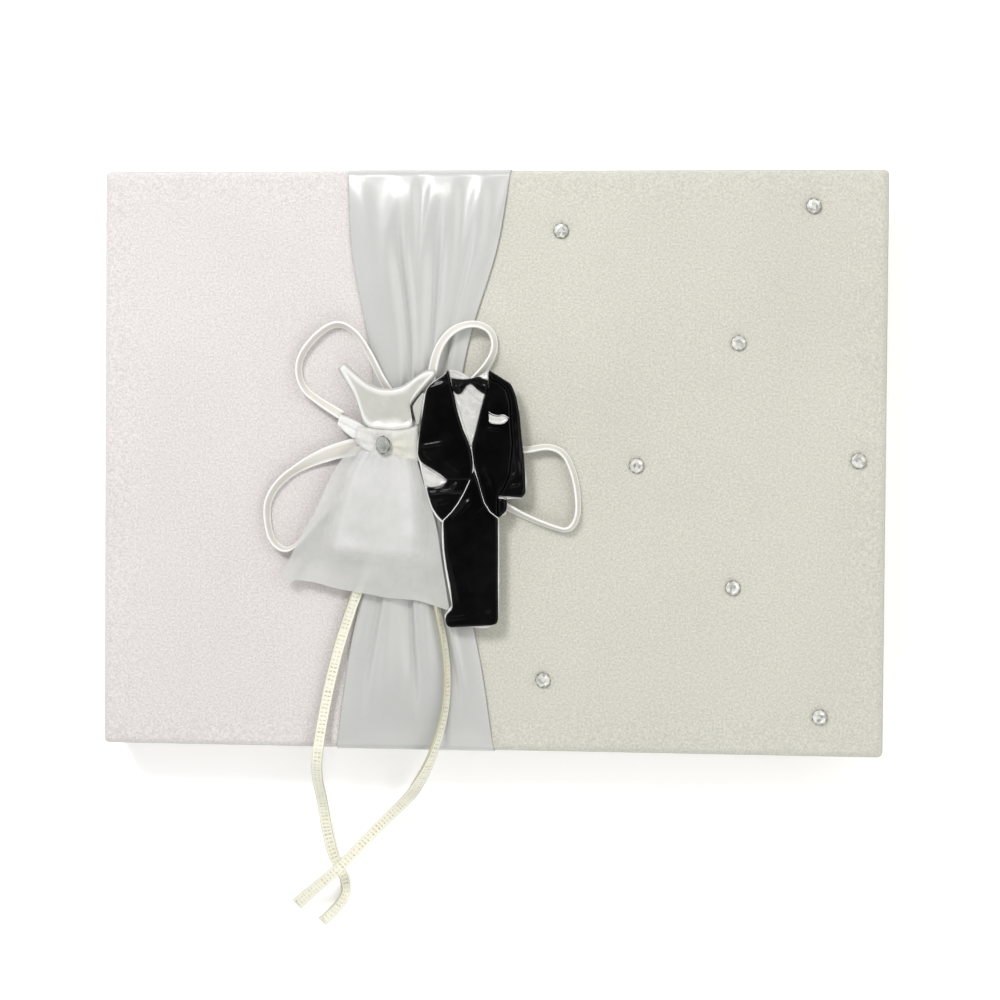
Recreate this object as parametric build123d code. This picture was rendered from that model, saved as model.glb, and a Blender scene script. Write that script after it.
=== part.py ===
from build123d import *
import math
import os

os.makedirs("parts", exist_ok=True)

# Wedding guest book lying on its back cover.
# X runs from the spine (-X) to the fore-edge (+X), Y towards the head, Z up.
# The origin is the centre of the footprint, on the surface that the book lies on.

# ---------------------------------------------------------------- driving dimensions
cover_length = 245.0        # spine edge to fore-edge
cover_height = 181.0        # tail edge to head edge
satin_thickness = 0.5
board_thickness = 2.4
endpaper_thickness = 0.3
foam_thickness = 4.0
turn_in_width = 6.0         # satin folded round the board and glued inside
cover_corner_radius = 3.0
page_square = 3.0           # how far the covers stand past the pages
section_count = 6
section_thickness = 1.85
leaf_count = 3
leaf_thickness = 0.25
leaf_gap = 0.15
leaf_stagger = 0.5          # each loose leaf is hinged this much further out
spine_board_thickness = 2.0
spine_inset = 0.2           # spine face behind the edge of the covers
mull_thickness = 0.4
pages_to_spine = 2.3        # hollow between the sewn backs and the spine board
joint_gap = 0.3             # free space at each folding joint
fit_gap = 0.1               # endpaper inside its window of satin
sash_thickness = 1.2
stone_diameter = 4.7
stone_height = 1.8
bow_ribbon = 2.4            # tube that stands for the narrow bow ribbon
tail_ribbon = 2.6           # tube that stands for the ribbed tail ribbon
lay_gap = 0.2               # ribbon above what it lies on
charm_gap = 0.4             # charm above the ribbons that run under it
charm_base_thickness = 1.2
relief_height = 1.0         # suit and trousers above the charm's base
rim_width = 0.5             # white rim left showing round the suit
bow_tie_height = 1.6
organza_thickness = 0.6
organza_gap = 0.2
wrap_thickness = 2.6
glue_dot_radius = 2.6

# ---------------------------------------------------------------- levels, bottom to top
back_board_z = satin_thickness
back_paper_z = back_board_z + board_thickness
pages_z = back_paper_z + endpaper_thickness
pages_top_z = pages_z + section_count * section_thickness
leaves_top_z = pages_top_z + leaf_count * (leaf_gap + leaf_thickness)
cover_under_z = leaves_top_z + joint_gap
front_board_z = cover_under_z + endpaper_thickness
foam_z = front_board_z + board_thickness
foam_top_z = foam_z + foam_thickness
cover_top_z = foam_top_z + satin_thickness
sash_top_z = cover_top_z + sash_thickness
ribbon_z = sash_top_z + lay_gap + tail_ribbon / 2
ribbon_top_z = ribbon_z + tail_ribbon / 2
charm_z = ribbon_top_z + charm_gap
relief_z = charm_z + charm_base_thickness

half_length = cover_length / 2
half_height = cover_height / 2
inside_left = -half_length + spine_inset + satin_thickness + spine_board_thickness
pages_left = inside_left + pages_to_spine
pages_right = half_length - page_square
pages_half_height = half_height - page_square

# folding joints: each is a line along Y, given by its X and Z
spine_joint = (-half_length + spine_inset, pages_z + joint_gap / 2)
cover_joint = (-half_length - spine_inset, cover_under_z - joint_gap / 2)


# ---------------------------------------------------------------- helpers
def slab(x0, x1, y0, y1, z0, z1):
    """Rectangular solid between two corners."""
    block = Box(x1 - x0, y1 - y0, z1 - z0)
    return Pos((x0 + x1) / 2, (y0 + y1) / 2, (z0 + z1) / 2) * block


def rounded_slab(length, height, radius, z0, z1):
    """Slab centred on the origin with rounded corners in plan."""
    return Pos(0, 0, z0) * extrude(RectangleRounded(length, height, radius), z1 - z0)


def cushion_slab(grow, z0, z1):
    """Cover-shaped slab, grown or shrunk all round, with a rounded upper edge."""
    radius = cover_corner_radius + grow
    body = rounded_slab(cover_length + 2 * grow, cover_height + 2 * grow, radius, z0, z1)
    rim = body.faces().sort_by(Axis.Z)[-1].edges()
    return fillet(rim, 0.9 * radius)


def window(z0, z1, gap=0.0):
    """Opening that the turned-in satin leaves for the endpaper."""
    inset = turn_in_width + gap
    return slab(-half_length + inset, half_length - inset,
                -half_height + inset, half_height - inset, z0, z1)


def flat_piece(runs, z0, z1):
    """Solid of constant thickness. A run of two points is straight, a longer one a curve."""
    edges = [Line(*run) if len(run) == 2 else Spline(*run) for run in runs]
    return Pos(0, 0, z0) * extrude(make_face(edges), z1 - z0)


def joined(*runs):
    """Close the outline: each run starts where the one before it ends."""
    closed = []
    for index, run in enumerate(runs):
        following = runs[(index + 1) % len(runs)]
        closed.append(list(run) + [following[0]])
    return closed


def ribbon_tube(name, points, diameter):
    """Round tube along straight runs with tangent arcs as large as the runs allow."""
    radii = []
    for before, here, after in zip(points, points[1:], points[2:]):
        leg_in = Vector(*here) - Vector(*before)
        leg_out = Vector(*after) - Vector(*here)
        turn = math.radians(leg_in.get_angle(leg_out))
        shorter = min(leg_in.length, leg_out.length)
        radii.append(0.45 * shorter / math.tan(turn / 2))
    path = FilletPolyline(*points, radius=radii)
    start = Plane(origin=path @ 0, z_dir=path % 0)
    tube = sweep(start * Circle(diameter / 2), path)
    share = tube.volume / (math.pi * diameter ** 2 / 4 * path.length)
    print(name, "length", round(path.length, 1), "smallest radius", round(min(radii), 1),
          "volume over section times length", round(share, 4))
    return tube


pieces = {}

# ---------------------------------------------------------------- back cover and pages
pieces["back_board"] = rounded_slab(
    cover_length - 2 * satin_thickness, cover_height - 2 * satin_thickness,
    cover_corner_radius - satin_thickness, back_board_z, back_paper_z)
pieces["back_cover_satin"] = (
    rounded_slab(cover_length, cover_height, cover_corner_radius, 0, pages_z)
    - pieces["back_board"] - window(back_paper_z, pages_z))
pieces["back_endpaper"] = window(back_paper_z, pages_z, fit_gap)

# folded sections of leaves, sewn through the fold and rounded slightly at the back
section = slab(pages_left, pages_right, -pages_half_height, pages_half_height,
               0, section_thickness)
fold_edges = section.faces().sort_by(Axis.X)[0].edges().filter_by(Axis.Y)
section = fillet(fold_edges, 0.35 * section_thickness)
pieces["page_sections"] = Compound(
    [Pos(0, 0, pages_z + index * section_thickness) * section
     for index in range(section_count)])
pieces["spine_mull"] = slab(
    pages_left - mull_thickness, pages_left, -pages_half_height + page_square,
    pages_half_height - page_square, pages_z + mull_thickness, pages_top_z - mull_thickness)

leaf_names = ["third_leaf", "second_leaf", "flyleaf"]
for index, name in enumerate(leaf_names):
    leaf_z = pages_top_z + leaf_gap + index * (leaf_gap + leaf_thickness)
    leaf_left = pages_left - index * leaf_stagger
    pieces[name] = slab(leaf_left, pages_right, -pages_half_height, pages_half_height,
                        leaf_z, leaf_z + leaf_thickness)

# ---------------------------------------------------------------- spine
spine_z0 = pages_z + joint_gap
spine_z1 = cover_under_z - joint_gap
spine_face = -half_length + spine_inset
spine_half = half_height - spine_inset
pieces["spine_board"] = slab(
    spine_face + satin_thickness, inside_left, -spine_half + satin_thickness,
    spine_half - satin_thickness, spine_z0, spine_z1)
pieces["spine_satin"] = slab(
    spine_face, inside_left, -spine_half, spine_half,
    spine_z0, spine_z1) - pieces["spine_board"]

# ---------------------------------------------------------------- padded front cover
stuffed = cushion_slab(-satin_thickness, front_board_z, foam_top_z)
pieces["front_board"] = stuffed & slab(
    -half_length, half_length, -half_height, half_height, front_board_z, foam_z)
pieces["front_foam_pad"] = stuffed & slab(
    -half_length, half_length, -half_height, half_height, foam_z, foam_top_z)
pieces["front_cover_satin"] = (
    cushion_slab(0, cover_under_z, cover_top_z) - stuffed
    - window(cover_under_z, front_board_z))
pieces["front_endpaper"] = window(cover_under_z, front_board_z, fit_gap)

# ---------------------------------------------------------------- gathered sash
# waisted band that runs over the head and tail edges, ending where it is turned in
sash_reach = half_height + 2 * sash_thickness
sash_outline = joined(
    [(-45, sash_reach), (-43.5, 64), (-37, 36), (-34.5, 8), (-37, -28), (-43.5, -60)],
    [(-48, -sash_reach)],
    [(3, -sash_reach), (-1.5, -64), (-9, -34), (-12, 8), (-8, 35), (2, 66)],
    [(7, sash_reach)])
over_cover = (cushion_slab(sash_thickness, front_board_z, sash_top_z)
              - cushion_slab(0, front_board_z - 1, cover_top_z))
sash_prism = flat_piece(sash_outline, front_board_z, sash_top_z)
pieces["satin_sash"] = over_cover & sash_prism

# ---------------------------------------------------------------- rhinestones
# scattered over the fore-edge half, set out from the fore-edge and from head or tail
stone_places = [
    (half_length - 100.5, half_height - 19), (half_length - 23, half_height - 11.5),
    (half_length - 45.5, 37), (half_length - 76.5, -1), (half_length - 8.5, 1),
    (half_length - 46.5, -38.5), (half_length - 105, -half_height + 22.5),
    (half_length - 19.5, -half_height + 12.5)]


def rhinestone(diameter, height, sides):
    """Flat-backed stone: a low girdle, then facets rising to a flat table."""
    girdle = 0.25 * height
    table = 0.5 * diameter
    crown = loft([Pos(0, 0, girdle) * RegularPolygon(diameter / 2, sides),
                  Pos(0, 0, height) * RegularPolygon(table / 2, sides)])
    return extrude(RegularPolygon(diameter / 2, sides), girdle) + crown


pieces["rhinestones"] = Compound(
    [Pos(x, y, cover_top_z) * rhinestone(stone_diameter, stone_height, 8)
     for x, y in stone_places])

# ---------------------------------------------------------------- bow: knot, tab, loops, tails
knot_left, knot_right = -30.0, -14.0
knot_low, knot_high = 3.0, 13.0
knot = slab(knot_left, knot_right, knot_low, knot_high,
            sash_top_z + lay_gap, ribbon_top_z + lay_gap)
pieces["bow_knot"] = fillet(knot.edges().filter_by(Axis.Z), 1.5)
pieces["bow_tab"] = flat_piece(
    joined([(-47.2, 12.0)], [(-45.4, 15.4)], [(-37.4, 10.6)], [(knot_left, 10.4)],
           [(knot_left, 6.4)], [(-41, 7.4)]),
    ribbon_top_z - 2.0, ribbon_top_z)

over_sash = ribbon_z - cover_top_z      # height of a ribbon where it crosses the sash


def above_cover(points):
    """Points whose third value is the height above the padded cover."""
    return [(x, y, cover_top_z + height) for x, y, height in points]


bow_loops = {
    "bow_loop_upper_left": [
        (-27, 12, over_sash), (-28.4, 18, over_sash), (-33, 24.6, over_sash),
        (-37, 33, 2.6), (-41.6, 40, 2.2), (-47.6, 43.2, 2), (-54.4, 39, 2),
        (-60.2, 31, 2), (-59, 22.8, 2), (-53, 18, 2.4), (-47, 14.6, over_sash)],
    "bow_loop_lower_left": [
        (-29, 4.6, over_sash), (-36, 4.9, over_sash), (-43.8, 3.8, 2.6), (-51, 1.7, 2.2),
        (-58.4, -1.6, 2), (-65.4, -6.4, 2), (-69.6, -13, 2), (-69.4, -20.2, 2),
        (-67.6, -26.2, 2), (-63, -29, 2), (-58, -25, 2), (-50.6, -16.2, 2),
        (-42, -7.6, 2.6), (-33.4, -1.2, over_sash), (-27, 4, over_sash)],
    "bow_loop_upper_right": [
        (-20, 12, over_sash), (-19.4, 19.4, over_sash), (-17.4, 27.6, over_sash),
        (-15.8, 35, over_sash), (-11.4, 40.8, over_sash), (-4.6, 43, over_sash),
        (1, 40.6, 2.5), (2.2, 34.6, 2.4), (-1.4, 28.4, 2.5), (-7, 23, 2.6),
        (-12, 18, over_sash), (-16, 12, over_sash)],
    "bow_loop_right": [
        (-15, 9.4, over_sash), (-6.6, 8.2, over_sash), (2.6, 5, 2.4), (11.2, 3.2, 2),
        (18.4, 5, 2), (23.6, 3, 2), (26.6, -3, 2), (28, -10, 2), (28.2, -17, 2),
        (25.4, -21.6, 2), (20, -20.2, 2), (13, -17.6, 2), (4.6, -13.4, 2),
        (-3.4, -8.4, 2.4), (-10, -1.6, over_sash), (-15, 5, over_sash)],
}
for name, route in bow_loops.items():
    pieces[name] = ribbon_tube(name, above_cover(route), bow_ribbon)

# the tails run over the tail edge and then lie on the surface the book rests on
left_over_cover = [
    (-23, 4, over_sash), (-25.8, -8, over_sash), (-31.2, -20, over_sash),
    (-37.2, -32.2, over_sash), (-42.2, -45, over_sash), (-46.2, -57.6, over_sash),
    (-49.8, -70, 2.5), (-52.6, -82, 2.3), (-54.6, -93.6, 3.8)]
left_off_edge = [
    (-55.8, -100.6, 19.6), (-56.4, -105.6, 10.6), (-56.4, -111.6, 4.2),
    (-55.2, -120, 1.7), (-52.4, -129, 1.5), (-48, -136, 1.6), (-48.2, -143, 1.5),
    (-54.6, -149.6, 1.5)]
right_over_cover = [
    (-18, 4, over_sash), (-18.8, -9, over_sash), (-18.8, -22, over_sash),
    (-17.6, -35, over_sash), (-15, -47.6, over_sash), (-12.6, -59, over_sash),
    (-11.9, -70.4, over_sash), (-13.2, -81.6, 3.4), (-17.2, -93.8, 5.4)]
right_off_edge = [
    (-21.4, -101, 20.6), (-24.6, -106, 11), (-29, -110.8, 4.6), (-35.4, -117, 2.4),
    (-41.6, -123.6, 4.6), (-47.2, -129.8, 7.2), (-53.4, -135.4, 7.2),
    (-58.8, -140, 4), (-63.4, -144.4, 1.6)]
tails = {
    "ribbon_tail_left": above_cover(left_over_cover) + left_off_edge,
    "ribbon_tail_right": above_cover(right_over_cover) + right_off_edge,
}
for name, route in tails.items():
    pieces[name] = ribbon_tube(name, route, tail_ribbon)

# ---------------------------------------------------------------- groom charm
groom_outline = joined(
    [(-12.4, 28), (-15.2, 25.6), (-18.2, 23.4), (-19.6, 20.4), (-20.8, 10), (-21.7, 2)],
    [(-21, -0.4)],
    [(-19.2, -8), (-18.1, -12), (-16.2, -16.5)],
    [(-13.8, -19), (-13.4, -29), (-11.9, -38)],
    [(-10.6, -44.6)],
    [(-12.8, -48)],
    [(-12, -51.2), (-4, -51.4), (3.2, -50)],
    [(4, -48), (4, -36)],
    [(3.8, -17.4)],
    [(6, -16.2)],
    [(6.2, -11.6)],
    [(10.6, -11.4), (11.7, -9.6), (11.4, 0), (10.3, 11.6), (9.2, 19)],
    [(7.6, 23.6)],
    [(3.8, 25.6)],
    [(0.6, 28.2)],
    [(-2.6, 26.4), (-5.6, 25.8), (-9, 26.4)])
pieces["groom_base"] = flat_piece(groom_outline, charm_z, relief_z)

jacket_outline = joined(
    [(-12.6, 27.2), (-15.2, 25), (-17.8, 22.8), (-19.1, 20), (-20.3, 10), (-21.1, 2)],
    [(-20.2, 0)],
    [(-11.8, -5.8)],
    [(-12.4, -8)],
    [(-18, -8.8), (-17.4, -12.4), (-15.8, -16)],
    [(-13.4, -18.4), (-9, -13.4), (-5.8, -8.6)],
    [(-4.2, -1.5), (-2, -9), (0.2, -13.6)],
    [(3, -16.9)],
    [(5.5, -15.8)],
    [(5.7, -11)],
    [(10.4, -10.8), (11.1, -9.4), (10.8, 0), (9.7, 11.6), (8.7, 18.8)],
    [(7.2, 23.1)],
    [(1, 26.8)],
    [(1, 20)],
    [(-4.9, 3.4)],
    [(-12, 20)])
pieces["groom_jacket"] = flat_piece(jacket_outline, relief_z, relief_z + relief_height)

trouser_outline = joined(
    [(-13, -19.6), (-12.8, -29), (-11.3, -38)],
    [(-10.1, -44.6)],
    [(-12.1, -48)],
    [(-11.6, -50.6), (-4, -50.8), (2.9, -49.5)],
    [(3.4, -48), (3.4, -36)],
    [(3.2, -18.4), (-0.2, -15), (-2.4, -9.6)],
    [(-4.2, -3), (-6.2, -9.8), (-9.4, -14.8)])
pieces["groom_trousers"] = flat_piece(
    trouser_outline, relief_z, relief_z + 0.8 * relief_height)

bow_tie_outline = joined(
    [(-11.2, 26), (-8, 26.2)],
    [(-5.4, 24.6), (-3, 26), (0.2, 25.8)],
    [(0.4, 23)],
    [(-0.4, 20.4), (-2.8, 21)],
    [(-5.4, 23), (-7.6, 20.8)],
    [(-9.8, 20.2), (-11, 22.8)])
pieces["groom_bow_tie"] = flat_piece(bow_tie_outline, relief_z, relief_z + bow_tie_height)
pocket_square = joined(
    [(0.6, 15.2)],
    [(5, 15.2), (6.8, 13.2), (5, 11.2)],
    [(0.6, 11.2)])
pieces["groom_pocket_square"] = flat_piece(
    pocket_square, relief_z + relief_height, relief_z + relief_height + 0.3)

# ---------------------------------------------------------------- bride charm
bodice_outline = joined(
    [(-46.7, 28.1)],
    [(-44.2, 30.5)],
    [(-42, 27.6), (-36, 23.7), (-30.6, 22.4), (-25.2, 23.8), (-17.8, 28.2)],
    [(-15.8, 26.6)],
    [(-18.8, 24.2), (-21.2, 21.4)],
    [(-24.2, 16.9), (-23.8, 13.5)],
    [(-22.2, 9.9)],
    [(-36.3, 9.9)],
    [(-38.8, 14), (-40.2, 18), (-43, 23.2)])
pieces["bride_bodice"] = flat_piece(bodice_outline, charm_z, charm_z + 1.8)

wrap_z = charm_z - 0.1
wrap_outline = joined(
    [(-38, 9.6), (-30, 9.2)],
    [(-22.4, 9.6), (-22.6, 5)],
    [(-22.2, 1.1), (-30, 0.6)],
    [(-38.4, 1.1), (-37.6, 5)])
pieces["bride_waist_wrap"] = flat_piece(wrap_outline, wrap_z, wrap_z + wrap_thickness)
waist_stone_place = (-32.2, 4.8)
pieces["bride_waist_stone"] = Pos(*waist_stone_place, wrap_z + wrap_thickness) * rhinestone(
    stone_diameter, stone_height, 6)

organza_z = charm_z - 0.1
long_skirt_outline = joined(
    [(-38.4, 0.4), (-45, -0.4), (-48.4, -5), (-54, -16.6), (-60.4, -28.4)],
    [(-64.2, -36.6)],
    [(-60.4, -37.6), (-47.6, -39.8), (-31.4, -42.6), (-20.8, -43.6)],
    [(-12, -46)],
    [(-11.8, -43.6), (-14.4, -31), (-14.8, -20.6)],
    [(-18.2, -15.8), (-20.4, -8)],
    [(-22.8, 0)])
pieces["skirt_long_layer"] = flat_piece(
    long_skirt_outline, organza_z, organza_z + organza_thickness)
short_skirt_outline = joined(
    [(-38.2, 0.2), (-44.4, -0.8), (-47.4, -5), (-51.4, -15), (-54, -24)],
    [(-56, -31.4)],
    [(-46, -31.4), (-34, -31.8), (-22, -33.4)],
    [(-15.6, -34)],
    [(-15, -28), (-15.2, -20.8)],
    [(-18.6, -15.8), (-20.8, -8)],
    [(-23, -0.2)])
short_z = organza_z + organza_thickness + organza_gap
pieces["skirt_short_layer"] = flat_piece(
    short_skirt_outline, short_z, short_z + organza_thickness)

# dots of glue that hold the charms to the cover beside the sash
glue_places = [(0, -36), (3.6, 15.6), (-38.6, 18.6)]
glue_dot = extrude(Circle(glue_dot_radius), charm_z - cover_top_z, taper=6)
pieces["glue_dots"] = Compound([Pos(x, y, cover_top_z) * glue_dot for x, y in glue_places])

print("cover top", round(cover_top_z, 3), "ribbon level", round(ribbon_z, 3),
      "charm level", round(charm_z, 3))
print("spine joint", spine_joint, "cover joint", cover_joint)
for name, shape in pieces.items():
    export_step(shape, f"parts/{name}.step")
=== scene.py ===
import math

import bmesh
import bpy
import numpy as np
from mathutils import Matrix, Vector


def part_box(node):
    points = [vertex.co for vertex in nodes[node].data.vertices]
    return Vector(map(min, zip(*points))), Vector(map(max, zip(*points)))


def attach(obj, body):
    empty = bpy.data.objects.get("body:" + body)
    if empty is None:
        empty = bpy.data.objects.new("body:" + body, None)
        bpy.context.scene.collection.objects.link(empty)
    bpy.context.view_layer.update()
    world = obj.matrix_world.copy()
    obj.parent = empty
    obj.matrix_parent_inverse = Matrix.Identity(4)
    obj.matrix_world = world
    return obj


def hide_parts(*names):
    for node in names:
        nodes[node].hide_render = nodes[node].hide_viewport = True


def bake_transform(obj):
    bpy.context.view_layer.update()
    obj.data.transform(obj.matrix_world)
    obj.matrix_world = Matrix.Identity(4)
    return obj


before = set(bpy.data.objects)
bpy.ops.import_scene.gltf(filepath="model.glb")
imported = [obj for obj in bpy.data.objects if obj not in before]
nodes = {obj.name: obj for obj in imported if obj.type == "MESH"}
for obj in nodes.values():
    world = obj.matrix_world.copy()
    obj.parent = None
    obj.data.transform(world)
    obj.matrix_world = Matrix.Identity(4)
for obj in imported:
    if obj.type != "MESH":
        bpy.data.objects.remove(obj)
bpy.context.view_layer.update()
mm = 0.001
print("frame loaded:", len(nodes), "nodes")


def boxMm(node):
    # lowest and highest corner of a CAD node in millimetres
    low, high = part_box(node)
    return np.array(low) / mm, np.array(high) / mm


# places taken from the frame, in millimetres
padLow, padHigh = boxMm("front_cover_satin")
blockLow, blockHigh = boxMm("page_sections")
backLow, backHigh = boxMm("back_cover_satin")
spineLow, spineHigh = boxMm("spine_satin")
baseLow, baseHigh = boxMm("groom_base")
halfLength = padHigh[0]
halfHeight = padHigh[1]
coverTop = padHigh[2]
coverUnder = padLow[2]
reliefZ = baseHigh[2]  # the face that the groom's black pieces are cast on
charmZ = baseLow[2]  # the underside of both ornaments
waistStoneTop = boxMm("bride_waist_stone")[0][2] + 1.6


def curveThrough(points, count, rounding=0.8):
    # even steps along straight runs between the points, then a running average over
    # a short length, so that corners turn softly and both ends stay where they are
    points = np.array(points, float)
    steps = np.linalg.norm(np.diff(points, axis=0), axis=1)
    along = np.concatenate([[0], np.cumsum(steps)])
    fine = 6 * count
    where = np.linspace(0, along[-1], fine)
    line = np.stack([np.interp(where, along, points[:, k]) for k in range(points.shape[1])], 1)
    if rounding > 0:
        reach = max(2, int(2.5 * rounding / (along[-1] / fine)))
        reach = min(reach, fine - 1)
        offset = np.arange(-reach, reach + 1) * along[-1] / fine
        weight = np.exp(-0.5 * (offset / rounding) ** 2)
        weight /= weight.sum()
        before = 2 * line[0] - line[reach:0:-1]
        after = 2 * line[-1] - line[-2:-reach - 2:-1]
        long = np.concatenate([before, line, after])
        line = np.stack([np.convolve(long[:, k], weight, "valid")
                         for k in range(points.shape[1])], 1)
    pick = np.linspace(0, fine - 1, count)
    return np.stack([np.interp(pick, np.arange(fine), line[:, k])
                     for k in range(points.shape[1])], 1)


def gridFaces(rows, columns, closeColumns=False, start=0):
    # four corners of every cell of a rows by columns grid
    row = np.arange(rows - 1)[:, None]
    column = np.arange(columns if closeColumns else columns - 1)[None, :]
    following = (column + 1) % columns
    corners = [row * columns + column, row * columns + following,
               (row + 1) * columns + following, (row + 1) * columns + column]
    return np.stack(corners, -1).reshape(-1, 4) + start


def joinParts(parts):
    # several (points, faces, uv) sets as one
    points, faces, uvs, count = [], [], [], 0
    for part in parts:
        points.append(part[0].reshape(-1, 3))
        faces.append(part[1] + count)
        uvs.append(part[2].reshape(-1, 2))
        count += len(points[-1])
    return np.concatenate(points), np.concatenate(faces), np.concatenate(uvs)


def closedLoft(rings):
    # rings of points carried along a path, closed round and capped at both ends
    first = np.repeat(rings[:1].mean(1, keepdims=True), rings.shape[1], 1)
    last = np.repeat(rings[-1:].mean(1, keepdims=True), rings.shape[1], 1)
    rings = np.concatenate([first, rings, last])
    rows, columns = rings.shape[:2]
    across = np.linspace(0, 1, columns)[None, :].repeat(rows, 0)
    mid = rings.mean(1)
    along = np.concatenate([[0], np.cumsum(np.linalg.norm(np.diff(mid, axis=0), axis=1))])
    uv = np.stack([across, along[:, None].repeat(columns, 1)], -1)
    return rings.reshape(-1, 3), gridFaces(rows, columns, True), uv.reshape(-1, 2)


def meshPiece(name, part, material, body="front_cover", smooth=True, recalc=True):
    # one object at the origin from (points in mm, faces, uv), riding on a body
    points, faces, uv = part
    mesh = bpy.data.meshes.new(name)
    faces = np.asarray(faces, np.int32)
    mesh.vertices.add(len(points))
    mesh.vertices.foreach_set("co", (np.asarray(points) * mm).astype(np.float32).ravel())
    mesh.loops.add(faces.size)
    mesh.loops.foreach_set("vertex_index", faces.ravel())
    mesh.polygons.add(len(faces))
    mesh.polygons.foreach_set("loop_start", np.arange(0, faces.size, 4, dtype=np.int32))
    mesh.update(calc_edges=True)
    layer = mesh.uv_layers.new(name="UVMap")
    layer.data.foreach_set("uv", np.asarray(uv, np.float32)[faces.ravel()].ravel())
    tidy = bmesh.new()
    tidy.from_mesh(mesh)
    bmesh.ops.remove_doubles(tidy, verts=tidy.verts, dist=1e-7)
    bmesh.ops.dissolve_degenerate(tidy, dist=1e-8, edges=tidy.edges)
    if recalc:
        bmesh.ops.recalc_face_normals(tidy, faces=tidy.faces)
    tidy.to_mesh(mesh)
    tidy.free()
    mesh.polygons.foreach_set("use_smooth", np.full(len(mesh.polygons), smooth))
    mesh.materials.append(material)
    piece = bpy.data.objects.new(name, mesh)
    bpy.context.scene.collection.objects.link(piece)
    if body:
        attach(piece, body)
    return piece


def smoothStep(value, low, high):
    # 0 below low, 1 above high, eased in between
    t = np.clip((value - low) / (high - low), 0, 1)
    return t * t * (3 - 2 * t)


def softNoise(x, y, scale, seed, octaves=3):
    # a few sine waves in random directions added up, from about -1 to 1
    draw = np.random.default_rng(seed)
    total = np.zeros(np.broadcast(x, y).shape)
    for octave in range(octaves):
        for wave in range(4):
            angle, phase = draw.uniform(0, 2 * np.pi, 2)
            size = scale / (1.9 ** octave) * draw.uniform(0.8, 1.3)
            total += np.sin((x * np.cos(angle) + y * np.sin(angle)) * 2 * np.pi / size
                            + phase) / (4 * 1.7 ** octave)
    return total


def feed(tree, node, values):
    # each input is given its value, or the output that feeds it
    for key, value in values.items():
        if isinstance(value, bpy.types.NodeSocket):
            tree.links.new(value, node.inputs[key])
        else:
            node.inputs[key].default_value = value


def put(tree, kind, values=None, **settings):
    # a new shader node with its settings and its inputs
    node = tree.nodes.new("ShaderNode" + kind)
    for key, value in settings.items():
        setattr(node, key, value)
    feed(tree, node, values or {})
    return node


def maths(tree, operation, *terms):
    # a Math node on one, two or three values
    return put(tree, "Math", dict(enumerate(terms)), operation=operation).outputs[0]


def spread(tree, value, low, high, start=0.0, end=1.0, ease="LINEAR"):
    # a value that lies between low and high stretched to run from start to end
    return put(tree, "MapRange", {"Value": value, "From Min": low, "From Max": high,
                                  "To Min": start, "To Max": end},
               interpolation_type=ease).outputs[0]


def newGroup(name, inputs, outputs):
    # a shared effect: inputs and outputs are (name, socket kind, value)
    group = bpy.data.node_groups.new(name, "ShaderNodeTree")
    for label, kind, value in inputs:
        socket = group.interface.new_socket(label, in_out="INPUT", socket_type="NodeSocket" + kind)
        if value is not None:
            socket.default_value = value
    for label, kind in outputs:
        group.interface.new_socket(label, in_out="OUTPUT", socket_type="NodeSocket" + kind)
    given = group.nodes.new("NodeGroupInput")
    return group, given.outputs, group.nodes.new("NodeGroupOutput")


def newMaterial(name):
    # a material with its node tree and its Principled shader
    made = bpy.data.materials.new(name)
    made.use_nodes = True
    return made, made.node_tree, made.node_tree.nodes["Principled BSDF"]


def threadGrainGroup():
    # crossed threads a pitch apart, blurred into each other by slubs and fine grain
    group, given, out = newGroup(
        "threadGrain",
        [("Vector", "Vector", None), ("Threads", "Float", 2600.0), ("Slub", "Float", 900.0),
         ("Weave share", "Float", 0.35)],
        [("Height", "Float"), ("Tone", "Float")])
    waves = [put(group, "TexWave", {"Vector": given["Vector"], "Scale": given["Threads"],
                                    "Distortion": 1.5, "Detail": 1.0, "Detail Scale": 2.0},
                 wave_type="BANDS", bands_direction=direction).outputs["Fac"]
             for direction in ("X", "Y")]
    crossed = maths(group, "MULTIPLY", *waves)
    grain = put(group, "TexNoise", {"Vector": given["Vector"], "Scale": given["Slub"],
                                    "Detail": 3.0, "Roughness": 0.62}).outputs["Fac"]
    mix = put(group, "Mix", {0: given["Weave share"], 2: grain, 3: crossed}, data_type="FLOAT")
    feed(group, out, {"Height": mix.outputs[0], "Tone": grain})
    return group


def blotchGroup():
    # slow drift between two tones, as cloth and cast pieces show over centimetres
    group, given, out = newGroup(
        "slowBlotch",
        [("Vector", "Vector", None), ("Size", "Float", 30.0), ("Low", "Color", (0.5, 0.5, 0.5, 1)),
         ("High", "Color", (0.6, 0.6, 0.6, 1))],
        [("Color", "Color"), ("Mask", "Float")])
    cloud = put(group, "TexNoise", {"Vector": given["Vector"], "Scale": given["Size"],
                                    "Detail": 4.0, "Roughness": 0.55})
    mask = spread(group, cloud.outputs["Fac"], 0.32, 0.68)
    mix = put(group, "Mix", {0: mask, 6: given["Low"], 7: given["High"]}, data_type="RGBA")
    feed(group, out, {"Color": mix.outputs[2], "Mask": mask})
    return group


threadGrain = threadGrainGroup()
slowBlotch = blotchGroup()


def tintedBy(tree, colour, mask, tint):
    # the colour multiplied by a tint where the mask is 1, unchanged where it is 0
    return put(tree, "Mix", {0: mask, 6: colour, 7: (*tint, 1)}, data_type="RGBA",
               blend_type="MULTIPLY").outputs[2]


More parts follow.
